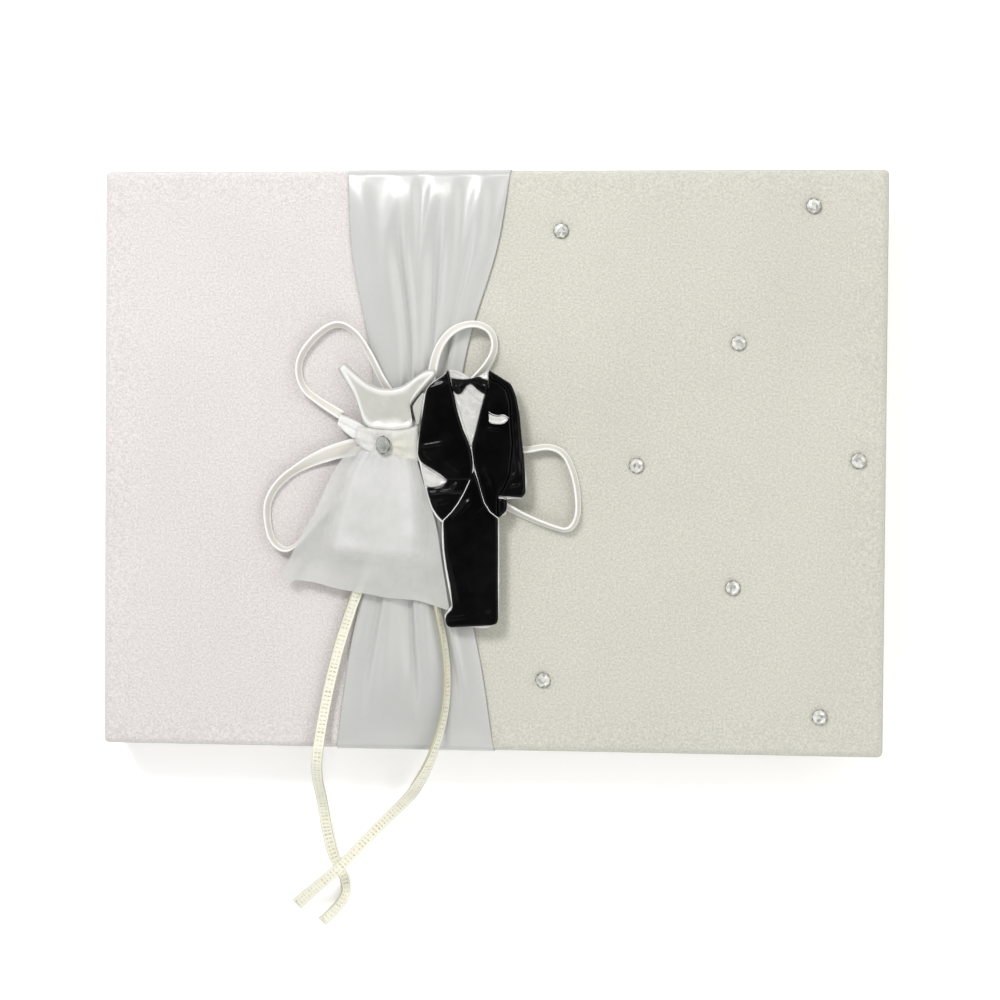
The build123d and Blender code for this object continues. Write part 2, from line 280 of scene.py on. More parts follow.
def acrossMask(tree, place, low, high):
    # 0 along the middle of a strip, 1 along both of its edges
    split = put(tree, "SeparateXYZ", {0: place["UV"]})
    centred = maths(tree, "MULTIPLY_ADD", split.outputs["X"], 2.0, -1.0)
    return spread(tree, maths(tree, "ABSOLUTE", centred), low, high)


def axisMask(tree, place, axis, low, high):
    # 0 below the low place along an axis, 1 above the high one, in metres
    split = put(tree, "SeparateXYZ", {0: place["Object"]})
    return spread(tree, split.outputs[axis], low, high, ease="SMOOTHSTEP")


def spotMask(tree, place, centre, radius):
    # 1 at a spot, fading to 0 at the radius
    away = put(tree, "VectorMath", {0: place["Object"], 1: centre}, operation="DISTANCE")
    return spread(tree, away.outputs["Value"], 0.25 * radius, radius, 1.0, 0.0, "SMOOTHSTEP")


def hemAlpha(tree, place, alpha, between):
    # see-through cloth that thins out at its hem and at both sides
    split = put(tree, "SeparateXYZ", {0: place["UV"]})
    hem = spread(tree, split.outputs["Y"], *between, 1.0, 0.15, "SMOOTHSTEP")
    sides = spread(tree, acrossMask(tree, place, 0.68, 1.0), 0.0, 1.0, 1.0, 0.12)
    return maths(tree, "MULTIPLY", maths(tree, "MULTIPLY", alpha, hem), sides)


def finishedMaterial(name, low, high, blotchSize, roughness, bump, grain, bumpDepth=0.00006,
                     sheen=0.0, coat=0.0, coatRoughness=0.1, specular=0.5, toneShare=0.12,
                     alpha=None, stretch=(1, 1, 1), middleShadeTint=None, sideShadeTint=None,
                     shadeBelowTint=None, spotTint=None, hemFade=None):
    # cloth, paper and cast pieces alike: slow blotches in the colour, a fine grain in tone,
    # roughness and height; painted shade along the middle, towards a side or on the lower parts; a
    # spot's tint
    made, tree, shader = newMaterial(name)
    place = put(tree, "TexCoord").outputs
    mapping = put(tree, "Mapping", {"Vector": place["Object"], "Scale": stretch})
    blotch = put(tree, "Group", {"Size": blotchSize, "Low": (*low, 1), "High": (*high, 1),
                                 "Vector": place["Object"]}, node_tree=slowBlotch)
    threads = put(tree, "Group", {"Vector": mapping.outputs[0], **grain}, node_tree=threadGrain)
    tone = spread(tree, threads.outputs["Tone"], 0.25, 0.75, 1 - toneShare, 1 + 0.4 * toneShare)
    colour = put(tree, "VectorMath", {0: blotch.outputs["Color"], "Scale": tone},
                 operation="SCALE").outputs[0]
    # painted shade: a darker band along the middle of a strip
    if middleShadeTint:
        middle = maths(tree, "SUBTRACT", 1.0, acrossMask(tree, place, *middleShadeTint["between"]))
        colour = tintedBy(tree, colour, middle, middleShadeTint["tint"])
    # painted shade: darker towards one side along X, and darker on the lower parts along Z
    for axis, tinted in (("X", sideShadeTint), ("Z", shadeBelowTint)):
        if tinted:
            mask = axisMask(tree, place, axis, *tinted["between"])
            colour = tintedBy(tree, colour, mask, tinted["tint"])
    if spotTint:
        mask = spotMask(tree, place, spotTint["centre"], spotTint["radius"])
        colour = tintedBy(tree, colour, mask, spotTint["tint"])
    rough = spread(tree, threads.outputs["Tone"], 0.0, 1.0, roughness - 0.05, roughness + 0.06)
    height = put(tree, "Bump", {"Height": threads.outputs["Height"], "Strength": bump,
                                "Distance": bumpDepth})
    if alpha is not None:
        seen = spread(tree, blotch.outputs["Mask"], 0.0, 1.0, alpha - 0.05, alpha + 0.05)
        if hemFade:
            seen = hemAlpha(tree, place, seen, hemFade)
        feed(tree, shader, {"Alpha": seen})
    feed(tree, shader, {
        "Base Color": colour, "Roughness": rough, "Normal": height.outputs[0],
        "Specular IOR Level": specular, "Sheen Weight": sheen, "Sheen Roughness": 0.4,
        "Coat Weight": coat, "Coat Roughness": coatRoughness})
    return made


finishes = {
    "coverSatin": dict(low=(0.655, 0.622, 0.61), high=(0.69, 0.66, 0.648), blotchSize=16,
                       roughness=0.5, bump=0.6, sheen=0.2, specular=0.35,
                       grain={"Threads": 5200.0, "Slub": 1700.0, "Weave share": 0.2},
                       toneShare=0.3, bumpDepth=0.0001,
                       # painted shade: the cover darker and greener towards the right, away from
                       # the key lamp
                       sideShadeTint={"between": (-0.045, 0.008), "tint": (0.85, 0.88, 0.79)},
                       # painted shade: the satin darker where it rolls over the edge and down the
                       # sides
                       shadeBelowTint={"between": ((coverTop - 1.3) * mm, (coverTop - 2.6) * mm),
                                "tint": (0.58, 0.57, 0.51)}),
    # the same white satin as the cover, given a darker colour: painted shade for how the glossy
    # cloth looks
    "sashSatin": dict(low=(0.45, 0.456, 0.445), high=(0.49, 0.496, 0.485), blotchSize=22,
                      roughness=0.29, bump=0.2, specular=1.0, sheen=0.0,
                      grain={"Threads": 6000.0, "Slub": 2200.0, "Weave share": 0.5},
                      toneShare=0.03, bumpDepth=0.00003),
    "bowSatin": dict(low=(0.84, 0.84, 0.82), high=(0.89, 0.89, 0.87), blotchSize=60,
                     roughness=0.36, bump=0.3, specular=0.5, sheen=0.1,
                     # painted shade: a darker, warmer band along the middle of each loop
                     middleShadeTint={"between": (0.5, 0.85), "tint": (0.76, 0.735, 0.69)},
                     grain={"Threads": 6500.0, "Slub": 2600.0, "Weave share": 0.6},
                     toneShare=0.05, bumpDepth=0.00003),
    "tabSatin": dict(low=(0.66, 0.66, 0.65), high=(0.74, 0.74, 0.73), blotchSize=120,
                     roughness=0.34, bump=0.3, specular=0.6, sheen=0.1,
                     grain={"Threads": 6500.0, "Slub": 2600.0, "Weave share": 0.6},
                     toneShare=0.05, bumpDepth=0.00003),
    "pearlResin": dict(low=(0.66, 0.662, 0.64), high=(0.72, 0.72, 0.70), blotchSize=40,
                       roughness=0.3, bump=0.1, coat=0.35, coatRoughness=0.12, specular=0.5,
                       # painted light by height: the raised rim left pale as a highlight, the
                       # lower middle darkened as shade
                       shadeBelowTint={"between": ((charmZ + 1.62) * mm, (charmZ + 1.16) * mm),
                                "tint": (0.68, 0.685, 0.65)},
                       grain={"Threads": 900.0, "Slub": 320.0, "Weave share": 0.0},
                       toneShare=0.04),
    "whiteResin": dict(low=(0.74, 0.74, 0.72), high=(0.80, 0.80, 0.78), blotchSize=60,
                       roughness=0.28, bump=0.15, coat=0.4, coatRoughness=0.1,
                       grain={"Threads": 900.0, "Slub": 360.0, "Weave share": 0.0},
                       toneShare=0.06),
    # white resin given a darker grey colour: painted shade
    "shadedWhite": dict(low=(0.50, 0.50, 0.485), high=(0.60, 0.60, 0.585), blotchSize=260,
                        roughness=0.26, bump=0.3, coat=0.4, coatRoughness=0.08,
                        grain={"Threads": 900.0, "Slub": 700.0, "Weave share": 0.0},
                        toneShare=0.14),
    "blackResin": dict(low=(0.002, 0.002, 0.0023), high=(0.005, 0.005, 0.0054), blotchSize=45,
                       roughness=0.13, bump=0.3, specular=0.11,
                       grain={"Threads": 300.0, "Slub": 180.0, "Weave share": 0.0},
                       toneShare=0.3, bumpDepth=0.00022),
    "crushedTulle": dict(low=(0.60, 0.60, 0.565), high=(0.66, 0.66, 0.645), blotchSize=110,
                         roughness=0.4, bump=0.4, specular=0.5,
                         spotTint={"centre": (-0.0268, 0.0042, 0.029), "radius": 0.0075,
                                   "tint": (0.975, 0.97, 0.90)},
                         grain={"Threads": 2600.0, "Slub": 1400.0, "Weave share": 0.6},
                         toneShare=0.06, alpha=0.9, bumpDepth=0.00006),
    # the same white organza as the short layer, given a darker colour: painted shade on the long
    # layer
    "organza": dict(low=(0.50, 0.505, 0.49), high=(0.57, 0.575, 0.56), blotchSize=60,
                    roughness=0.42, bump=0.12, specular=0.4, sheen=0.1,
                    grain={"Threads": 4200.0, "Slub": 900.0, "Weave share": 0.5},
                    toneShare=0.02, alpha=0.76, bumpDepth=0.00003),
    "topOrganza": dict(low=(0.68, 0.685, 0.675), high=(0.76, 0.76, 0.755), blotchSize=75,
                       roughness=0.42, bump=0.12, specular=0.4, sheen=0.1,
                       grain={"Threads": 4200.0, "Slub": 900.0, "Weave share": 0.5},
                       toneShare=0.02, alpha=0.66, hemFade=(0.84, 1.0), bumpDepth=0.00003),
    "greyStone": dict(low=(0.20, 0.205, 0.19), high=(0.46, 0.47, 0.44), blotchSize=420,
                      # painted shade: the stone darker towards its foot
                      shadeBelowTint={"between": ((waistStoneTop - 0.5) * mm, (waistStoneTop - 1.2) * mm),
                               "tint": (0.30, 0.30, 0.27)},
                      roughness=0.12, bump=0.1, coat=1.0, coatRoughness=0.03,
                      grain={"Threads": 900.0, "Slub": 700.0, "Weave share": 0.0},
                      toneShare=0.3),
    "leafPaper": dict(low=(0.84, 0.83, 0.79), high=(0.89, 0.88, 0.85), blotchSize=18,
                      roughness=0.75, bump=0.25, specular=0.25,
                      grain={"Threads": 1500.0, "Slub": 1100.0, "Weave share": 0.1},
                      toneShare=0.04, bumpDepth=0.00003),
    "laidEndpaper": dict(low=(0.82, 0.80, 0.75), high=(0.86, 0.845, 0.80), blotchSize=14,
                         roughness=0.7, bump=0.4, specular=0.25,
                         grain={"Threads": 900.0, "Slub": 700.0, "Weave share": 0.45},
                         toneShare=0.06, stretch=(1, 0.15, 1)),
    "binderBoard": dict(low=(0.42, 0.38, 0.31), high=(0.5, 0.46, 0.39), blotchSize=60,
                        roughness=0.85, bump=0.5, specular=0.2,
                        grain={"Threads": 900.0, "Slub": 600.0, "Weave share": 0.0},
                        toneShare=0.25),
    "gauzeMull": dict(low=(0.7, 0.67, 0.58), high=(0.78, 0.75, 0.67), blotchSize=30,
                      roughness=0.85, bump=0.9, specular=0.2,
                      grain={"Threads": 800.0, "Slub": 900.0, "Weave share": 0.85},
                      toneShare=0.15, bumpDepth=0.00015),
    "driedGlue": dict(low=(0.42, 0.33, 0.20), high=(0.55, 0.46, 0.30), blotchSize=120,
                      roughness=0.2, bump=0.3, coat=0.5, specular=0.5,
                      grain={"Threads": 500.0, "Slub": 400.0, "Weave share": 0.0},
                      toneShare=0.1),
}
# the case satin keeps the painted side shade but not the painted shade below the edge
finishes["caseSatin"] = dict(finishes["coverSatin"], shadeBelowTint=None)
materials = {name: finishedMaterial(name, **values) for name, values in finishes.items()}


def tailWeaveMaterial():
    # narrow ladder weave: thin ribs across, two rows of dark slots, darker selvedges
    made, tree, shader = newMaterial("tailWeave")
    place = put(tree, "TexCoord").outputs
    split = put(tree, "SeparateXYZ", {0: place["UV"]})
    stray = put(tree, "TexNoise", {"Vector": place["UV"], "Scale": 1.3,
                                   "Detail": 2.0}).outputs["Fac"]

    def bars(pitch, thin):
        # 1 on thin bars across the strip, a pitch apart in millimetres
        counted = maths(tree, "MULTIPLY", split.outputs["Y"], 1 / pitch)
        moved = maths(tree, "MULTIPLY_ADD", stray, 0.8, counted)
        return spread(tree, maths(tree, "PINGPONG", moved, 0.5), thin, 0.4 * thin)

    across = acrossMask(tree, place, 0.0, 1.0)
    fromRow = maths(tree, "ABSOLUTE", maths(tree, "SUBTRACT", across, 0.36))
    slots = maths(tree, "MULTIPLY", bars(1.3, 0.24), spread(tree, fromRow, 0.34, 0.14))
    seen = maths(tree, "MULTIPLY", slots, spread(tree, stray, 0.4, 0.6, 0.25))
    ribs = bars(0.46, 0.3)
    base = put(tree, "Mix", {0: maths(tree, "MULTIPLY", ribs, 0.22),
                             6: (0.83, 0.82, 0.70, 1), 7: (0.62, 0.605, 0.47, 1)},
               data_type="RGBA")
    colour = tintedBy(tree, base.outputs[2], seen, (0.60, 0.575, 0.45))
    colour = tintedBy(tree, colour, acrossMask(tree, place, 0.90, 0.98), (0.62, 0.61, 0.50))
    relief = maths(tree, "MULTIPLY_ADD", ribs, -0.5, maths(tree, "SUBTRACT", 1.0, seen))
    height = put(tree, "Bump", {"Height": relief, "Strength": 0.8, "Distance": 0.00015})
    feed(tree, shader, {"Base Color": colour, "Normal": height.outputs[0], "Roughness": 0.45,
                        "Sheen Weight": 0.15})
    return made


def pageEdgeMaterial():
    # stacked leaves: fine dark lines between them on the trimmed sides, plain on the flat
    made, tree, shader = newMaterial("pageEdges")
    place = put(tree, "TexCoord").outputs
    squeeze = put(tree, "Mapping", {"Vector": place["Object"], "Scale": (30, 30, 9000)})
    lines = put(tree, "TexNoise", {"Vector": squeeze.outputs[0], "Scale": 1.0,
                                   "Detail": 2.0}).outputs["Fac"]
    facing = put(tree, "SeparateXYZ", {0: place["Normal"]})
    pale = maths(tree, "MAXIMUM", spread(tree, lines, 0.36, 0.56),
                 maths(tree, "ABSOLUTE", facing.outputs["Z"]))
    colour = put(tree, "Mix", {0: pale, 6: (0.62, 0.59, 0.52, 1), 7: (0.88, 0.865, 0.82, 1)},
                 data_type="RGBA")
    height = put(tree, "Bump", {"Height": lines, "Strength": 0.35, "Distance": 0.00006})
    feed(tree, shader, {"Base Color": colour.outputs[2], "Normal": height.outputs[0],
                        "Roughness": 0.8, "Specular IOR Level": 0.2})
    return made


def stoneMaterial():
    # clear stone over silver foil: cells of lighter and darker tone as painted facet reflections,
    # and painted shade at the foot
    made, tree, shader = newMaterial("foiledStone")
    place = put(tree, "TexCoord").outputs
    cells = put(tree, "TexVoronoi", {"Vector": place["Object"], "Scale": 900.0}, feature="F1")
    tone = spread(tree, cells.outputs["Color"], 0.1, 0.7, 0.45, 1.0)
    shade = put(tree, "VectorMath", {0: (0.80, 0.80, 0.755), "Scale": tone}, operation="SCALE")
    # painted shade: the foot of each stone darker, where it sits in the cover's dip
    girdle = axisMask(tree, place, "Z", (coverTop + 0.55) * mm, (coverTop - 0.1) * mm)
    colour = tintedBy(tree, shade.outputs[0], girdle, (0.36, 0.35, 0.29))
    feed(tree, shader, {"Base Color": colour, "Metallic": 0.25, "Roughness": 0.16,
                        "Coat Weight": 1.0, "Coat Roughness": 0.02})
    return made


materials["tailWeave"] = tailWeaveMaterial()
materials["pageEdges"] = pageEdgeMaterial()
materials["foiledStone"] = stoneMaterial()
print("materials made:", len(materials))


viewSettings = {"place": (65.5, 4.9, 715.9), "tiltBack": -1.4, "tiltSide": 5.1, "roll": 0.57,
                "lens": 80.5, "sensor": 36.0}


def makeCamera(values):
    # turned about its own roll first, then leaned to the side, then back
    lens = bpy.data.cameras.new("camera")
    lens.lens = values["lens"]
    lens.sensor_width = values["sensor"]
    lens.clip_start = 0.01
    camera = bpy.data.objects.new("camera", lens)
    turn = (Matrix.Rotation(math.radians(values["tiltBack"]), 3, "X")
            @ Matrix.Rotation(math.radians(values["tiltSide"]), 3, "Y")
            @ Matrix.Rotation(math.radians(values["roll"]), 3, "Z"))
    camera.location = Vector(values["place"]) * mm
    camera.rotation_euler = turn.to_euler("XYZ")
    bpy.context.scene.collection.objects.link(camera)
    bpy.context.scene.camera = camera


makeCamera(viewSettings)


def routeLine(name, points, perRun=14):
    # the smooth line of a ribbon: a NURBS spline with the route's points as its controls
    curve = bpy.data.curves.new(name, "CURVE")
    curve.dimensions = "3D"
    spline = curve.splines.new("NURBS")
    spline.points.add(len(points) - 1)
    spline.points.foreach_set("co", np.array([(*p, 1) for p in points], np.float32).ravel())
    spline.order_u = 3
    spline.use_endpoint_u = True
    curve.resolution_u = perRun
    holder = bpy.data.objects.new(name, curve)
    bpy.context.scene.collection.objects.link(holder)
    mesh = bpy.data.meshes.new_from_object(holder)
    line = np.empty(len(mesh.vertices) * 3)
    mesh.vertices.foreach_get("co", line)
    bpy.data.objects.remove(holder)
    bpy.data.meshes.remove(mesh)
    return line.reshape(-1, 3) / mm


def ribbonPart(line, width, thickness, lean, cup=0.0, across=13):
    # a flat strip carried along the line. lean is its angle from lying flat, in degrees,
    # and width its breadth, both at even shares of the length; a lean of 90 stands it on
    # edge. cup bows it across, and each edge is a woven bead.
    steps = np.linalg.norm(np.diff(line, axis=0), axis=1)
    along = np.concatenate([[0], np.cumsum(steps)])
    forward = np.gradient(line, along, axis=0)
    forward /= np.linalg.norm(forward, axis=1, keepdims=True)
    side = np.cross(forward, [0, 0, 1.0])
    side /= np.linalg.norm(side, axis=1, keepdims=True)
    upright = np.cross(side, forward)
    share = along / along[-1]
    angle = np.radians(np.interp(share, np.linspace(0, 1, len(lean)), lean))
    wide = side * np.cos(angle)[:, None] + upright * np.sin(angle)[:, None]
    thin = -side * np.sin(angle)[:, None] + upright * np.cos(angle)[:, None]
    s = np.sin(np.linspace(-1, 1, across) * np.pi / 2)
    edge = 1 + 0.9 * np.exp(-((1 - np.abs(s)) / 0.16) ** 2)
    breadth = np.interp(share, np.linspace(0, 1, len(width)), width)
    top = s[None, :, None] * wide[:, None, :] * breadth[:, None, None] / 2
    bow = cup * (1 - s ** 2)
    rise = (thickness / 2 * edge + bow)[None, :, None] * thin[:, None, :]
    drop = (-thickness / 2 * edge + bow)[None, :, None] * thin[:, None, :]
    ring = np.concatenate([line[:, None, :] + top + rise,
                           (line[:, None, :] + top + drop)[:, ::-1]], 1)
    points, faces, uv = closedLoft(ring)
    acrossUv = np.concatenate([(s + 1) / 2, ((s + 1) / 2)[::-1]])
    uv = uv.reshape(-1, 2 * across, 2)
    uv[:, :, 0] = acrossUv[None, :]
    return points, faces, uv.reshape(-1, 2)


overSash = boxMm("bow_knot")[0][2] - 0.2 + 1.5 - coverTop


def aboveCover(points):
    # the third value of each point is its height above the padded cover
    return [(x * mm, y * mm, (coverTop + height) * mm) for x, y, height in points]


def onTable(points):
    # the third value of each point is its height above the table
    return [(x * mm, y * mm, z * mm) for x, y, z in points]


bowLoops = {
    "bow_loop_upper_left": dict(lean=[20, 38, 50, 55, 62, 66, 66, 64, 50, 30], width=[3.0], route=[
        (-27, 12, overSash), (-28.4, 18, overSash), (-33, 24.6, overSash),
        (-37, 33, 2.6), (-41.6, 40, 2.2), (-47.6, 43.2, 2), (-54.4, 39, 2),
        (-60.2, 31, 2), (-59, 22.8, 2), (-53, 18, 2.4), (-45.9, 13.9, overSash)]),
    "bow_loop_lower_left": dict(lean=[5, 8, 22, 50, 60, 66, 70, 72, 60, 40, 15],
                                width=[3.0, 5.6, 4.6, 3.0, 3, 3, 3, 3, 3, 3, 3], route=[
        (-29, 4.6, overSash), (-36, 4.9, overSash), (-43.8, 3.8, 2.6), (-51, 1.7, 2.2),
        (-58.4, -1.6, 2), (-65.4, -6.4, 2), (-69.6, -13, 2), (-69.4, -20.2, 2),
        (-67.6, -26.2, 2), (-63, -29, 2), (-58, -25, 2), (-50.6, -16.2, 2),
        (-42, -7.6, 2.6), (-33.4, -1.2, overSash), (-27, 4, overSash)]),
    "bow_loop_upper_right": dict(lean=[10, 34, 44, 50, 58, 64, 58, 50, 10],
                                 width=[3.0, 3.4, 3.6, 3.4, 3.1, 3, 3, 3, 3], route=[
        (-20, 12, overSash), (-19.4, 19.4, overSash), (-17.4, 27.6, overSash + 0.7),
        (-15.8, 35, overSash + 0.9), (-11.4, 40.8, overSash + 0.9), (-4.6, 43, overSash + 0.6),
        (1, 40.6, 2.5), (2.2, 34.6, 2.4), (-1.4, 28.4, 2.5), (-7, 23, 2.6),
        (-12, 18, overSash), (-16, 12, overSash)]),
    "bow_loop_right": dict(lean=[10, 20, 52, 62, 64, 68, 70, 62, 44, 25, 10], width=[3.0], route=[
        (-15, 9.4, overSash), (-6.6, 8.2, overSash), (2.6, 5, 2.4), (11.2, 3.2, 2),
        (18.4, 5, 2), (23.6, 3, 2), (26.6, -3, 2), (28, -10, 2), (28.2, -17, 2),
        (25.4, -21.6, 2), (20, -20.2, 2), (13, -17.6, 2), (4.6, -13.4, 2),
        (-3.4, -8.4, 2.4), (-10, -1.6, overSash), (-15, 5, overSash)]),
}
tails = {
    "ribbon_tail_left": dict(
        lean=[20, 34, 42, 42, 30, 16, 8, 4, 0, 0, 0, 6, 34, 10],
        width=[3.0, 3.2, 3.2, 3.3, 3.3, 3.2, 3.2, 3.2, 3.3, 3.3, 3.4, 3.3, 2.7, 2.9],
        cover=[(-23, 4, overSash), (-25.8, -8, overSash), (-31.2, -20, overSash),
               (-37.2, -32.2, overSash), (-42.2, -45, overSash), (-46.2, -57.6, overSash),
               (-49.2, -70, 2.5), (-51.5, -82, 2.3), (-53.0, -93.6, 3.8)],
        table=[(-54.0, -100.6, 19.6), (-54.6, -105.6, 10.6), (-54.6, -111.6, 4.2),
               (-53.8, -120, 1.7), (-51.6, -129, 1.5), (-47.4, -136, 1.6), (-47.6, -143, 1.5),
               (-55.2, -149.9, 1.5)]),
    "ribbon_tail_right": dict(
        lean=[40, 66, 74, 76, 76, 74, 72, 66, 58, 34, 10, 0, 0, 4, 0, 0],
        width=[3.2, 3.2, 3.2, 3.2, 3.2, 3.2, 3.2, 3.3, 3.5, 3.6, 3.5, 3.4, 3.2, 3.3, 3.6, 3.8],
        cover=[(-18, 4, overSash), (-18.8, -9, overSash), (-18.8, -22, overSash),
               (-17.6, -35, overSash), (-15, -47.6, overSash + 0.4),
               (-12.6, -59, overSash + 0.5), (-11.9, -70.4, overSash + 0.5),
               (-13.2, -81.6, overSash + 0.9), (-17.2, -93.8, 5.4)],
        table=[(-21.4, -101, 20.6), (-24.6, -106, 11), (-29, -110.8, 4.6), (-35.4, -117, 2.4),
               (-41.6, -123.6, 4.6), (-47.2, -129.8, 7.2), (-53.4, -135.4, 7.2),
               (-58.8, -140, 4), (-63.4, -144.4, 1.6)]),
}


bowStrip = {"width": 3.0, "thickness": 0.34, "cup": 0.15}
tailStrip = {"width": 3.6, "thickness": 0.5, "cup": 0.1, "across": 11}


def makeBow():
    # four satin loops, each a strip along its own route
    for name, values in bowLoops.items():
        line = routeLine(name, aboveCover(values["route"]))
        part = ribbonPart(line, values["width"], bowStrip["thickness"], values["lean"],
                          cup=bowStrip["cup"])
        loop = meshPiece(name + "_ribbon", part, materials["bowSatin"])
        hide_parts(name)


def makeTails():
    # two woven tails, over the cover first and then down to the table
    for name, values in tails.items():
        line = routeLine(name, aboveCover(values["cover"]) + onTable(values["table"]))
        part = ribbonPart(line, values["width"], tailStrip["thickness"], values["lean"],
                          cup=tailStrip["cup"], across=tailStrip["across"])
        tail = meshPiece(name + "_weave", part, materials["tailWeave"])
        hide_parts(name)


makeBow()
makeTails()
print("ribbons laid")


padShape = {"corner": 1.7, "edge": 2.2, "edgeDrop": 2.8, "pillow": 0.5, "pillowReach": 9.0,
            "dimple": 0.5, "dimpleReach": 3.0, "pucker": 0.035, "puckerSize": 26,
            # columns and rows of the top, and how closely they crowd towards its edges
            "grid": (330, 244), "crowding": 1.12,
            # shares of the way down the side, and distances in under the board
            "wall": (0.25, 0.5, 0.75, 0.93), "under": (0.4, 1.5, 3.5, 6.0), "lip": 0.25}
backShape = {"edge": 1.1, "grid": (150, 110), "wall": (0.3, 0.6, 0.9)}


def stonePlaces():
    # the eight stones are separate lumps of one node: the mean of each lump's points
    mesh = nodes["rhinestones"].data
    points = np.empty(len(mesh.vertices) * 3)
    mesh.vertices.foreach_get("co", points)
    points = points.reshape(-1, 3)[:, :2] / mm
    places = []
    while len(points):
        near = np.linalg.norm(points - points[0], axis=1) < 6
        low, high = points[near].min(0), points[near].max(0)
        places.append((low + high) / 2)
        points = points[~near]
    return np.array(places)


stones = stonePlaces()


def insideDistance(x, y, corner):
    # distance in from the outline of a rectangle with rounded corners
    overX = np.abs(x) - (halfLength - corner)
    overY = np.abs(y) - (halfHeight - corner)
    outside = np.hypot(np.maximum(overX, 0), np.maximum(overY, 0))
    inside = np.minimum(np.maximum(overX, overY), 0)
    return corner - outside - inside


def coverHeight(x, y):
    # flat top that sinks slowly towards the edge, then rolls over it in a quarter ellipse;
    # a small round dip under each stone
    shape = padShape
    inward = insideDistance(x, y, shape["corner"])
    roll = 1 - np.clip(inward / shape["edge"], 0, 1)
    height = coverTop - shape["edgeDrop"] * (1 - np.sqrt(np.maximum(1 - roll ** 2, 0)))
    height = height - shape["pillow"] * np.exp(-np.maximum(inward, 0) / shape["pillowReach"])
    height = height + shape["pucker"] * softNoise(
        x, y, shape["puckerSize"], 3) * smoothStep(inward, 2, 14)
    for stoneX, stoneY in stones:
        away = np.hypot(x - stoneX, y - stoneY)
        height = height - shape["dimple"] * np.exp(-(away / shape["dimpleReach"]) ** 2)
    return height


def backHeight(x, y):
    # the outside of the back cover: flat on the table, its edge rolled up a little
    edge = backShape["edge"]
    roll = 1 - np.clip(insideDistance(x, y, padShape["corner"]) / edge, 0, 1)
    return backLow[2] + edge * (1 - np.sqrt(np.maximum(1 - roll ** 2, 0)))


def coverShell(shape, heightAt, underZ):
    # the top is a grid squeezed so that its border follows the rounded outline;
    # the border is then carried down the side and in under the board
    columns, rows = shape["grid"]
    s = np.linspace(-1, 1, columns)
    t = np.linspace(-1, 1, rows)
    s = np.sign(s) * (1 - (1 - np.abs(s)) ** padShape["crowding"])
    t = np.sign(t) * (1 - (1 - np.abs(t)) ** padShape["crowding"])
    gridS, gridT = np.meshgrid(s, t)
    corner = padShape["corner"]
    x = gridS * halfLength
    y = gridT * halfHeight
    overX = np.maximum(np.abs(x) - (halfLength - corner), 0) / corner
    overY = np.maximum(np.abs(y) - (halfHeight - corner), 0) / corner
    # within a corner's square, a square is squeezed onto a quarter disc
    longer = np.maximum(overX, overY)
    radius = np.hypot(overX, overY)
    shrink = np.where(radius > 0, longer / np.maximum(radius, 1e-9), 1)
    x = np.sign(x) * np.where((overX > 0) & (overY > 0),
                              halfLength - corner + overX * shrink * corner, np.abs(x))
    y = np.sign(y) * np.where((overX > 0) & (overY > 0),
                              halfHeight - corner + overY * shrink * corner, np.abs(y))
    z = heightAt(x, y)
    top = np.stack([x, y, z], -1)
    index = np.arange(rows * columns).reshape(rows, columns)
    border = np.concatenate([index[0, :-1], index[:-1, -1], index[-1, :0:-1], index[:0:-1, 0]])
    rim = top.reshape(-1, 3)[border]
    rings = []
    for depth in shape["wall"]:
        ring = rim.copy()
        ring[:, 2] = rim[:, 2] + (underZ - rim[:, 2]) * depth
        rings.append(ring)
    for inward in padShape["under"]:
        ring = rim.copy()
        ring[:, 0] = np.clip(rim[:, 0], -halfLength + inward, halfLength - inward)
        ring[:, 1] = np.clip(rim[:, 1], -halfHeight + inward, halfHeight - inward)
        ring[:, 2] = underZ
        rings.append(ring)
    lip = rings[-1].copy()
    lip[:, 2] += padShape["lip"] * np.sign(rim[0, 2] - underZ)
    rings.append(lip)
    skirt = np.stack([rim] + rings)
    count = rows * columns
    faces = [gridFaces(rows, columns)]
    faces.append(gridFaces(len(skirt), len(border), True, count))
    points = np.concatenate([top.reshape(-1, 3), skirt.reshape(-1, 3)])
    uv = np.stack([points[:, 0], points[:, 1]], 1)
    return points, np.concatenate(faces), uv


def makeCovers():
    # the padded front satin, and the back satin that lies on the table
    part = coverShell(padShape, coverHeight, coverUnder)
    pad = meshPiece("padded_cover_satin", part, materials["coverSatin"])
    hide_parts("front_cover_satin", "front_foam_pad")
    part = coverShell(backShape, backHeight, backHigh[2])
    back = meshPiece("back_cover_cloth", part, materials["caseSatin"], body="back_cover")
    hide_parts("back_cover_satin")
    return pad


padPiece = makeCovers()
print("covers made")


sashShape = {"left": [(-45, 96), (-43.6, 64), (-37.4, 36), (-34.5, 8), (-37, -28), (-43.4, -60),
                      (-48, -96)],
             "right": [(7, 96), (2.6, 66), (-6.6, 38), (-11.5, 8), (-8.4, -34), (-1.6, -64),
                       (3, -96)],
             "lift": 0.35, "thickness": 0.3, "puff": 1.7, "ripple": 0.04,
             # how far in the cloth climbs: in the hollows, along the streaks, at the tail
             "climb": (4.5, 11, 5),
             # share of the width, breadth: where the cloth climbs slowly from the head edge
             "streaks": [(0.19, 0.07), (0.465, 0.035), (0.74, 0.045), (0.93, 0.05)],
             # share at the head and at the waist, and depth of each sharp fold
             "headFolds": [(0.31, 0.41, 1.5), (0.575, 0.63, 1.4), (0.80, 0.80, 0.7)],
             "foldBreadth": (0.07, 0.024),  # left of the fold and right of it
             # the lip beside each fold: share of its depth, distance and breadth
             "foldLip": (0.42, 0.05, 0.03),
             "tailFolds": [(0.50, 0.46, 1.6), (0.80, 0.74, 1.3), (0.14, 0.20, 1.1)],
             "tailRidges": [(0.28, 0.065, 1.0), (0.60, 0.06, 0.9)]}


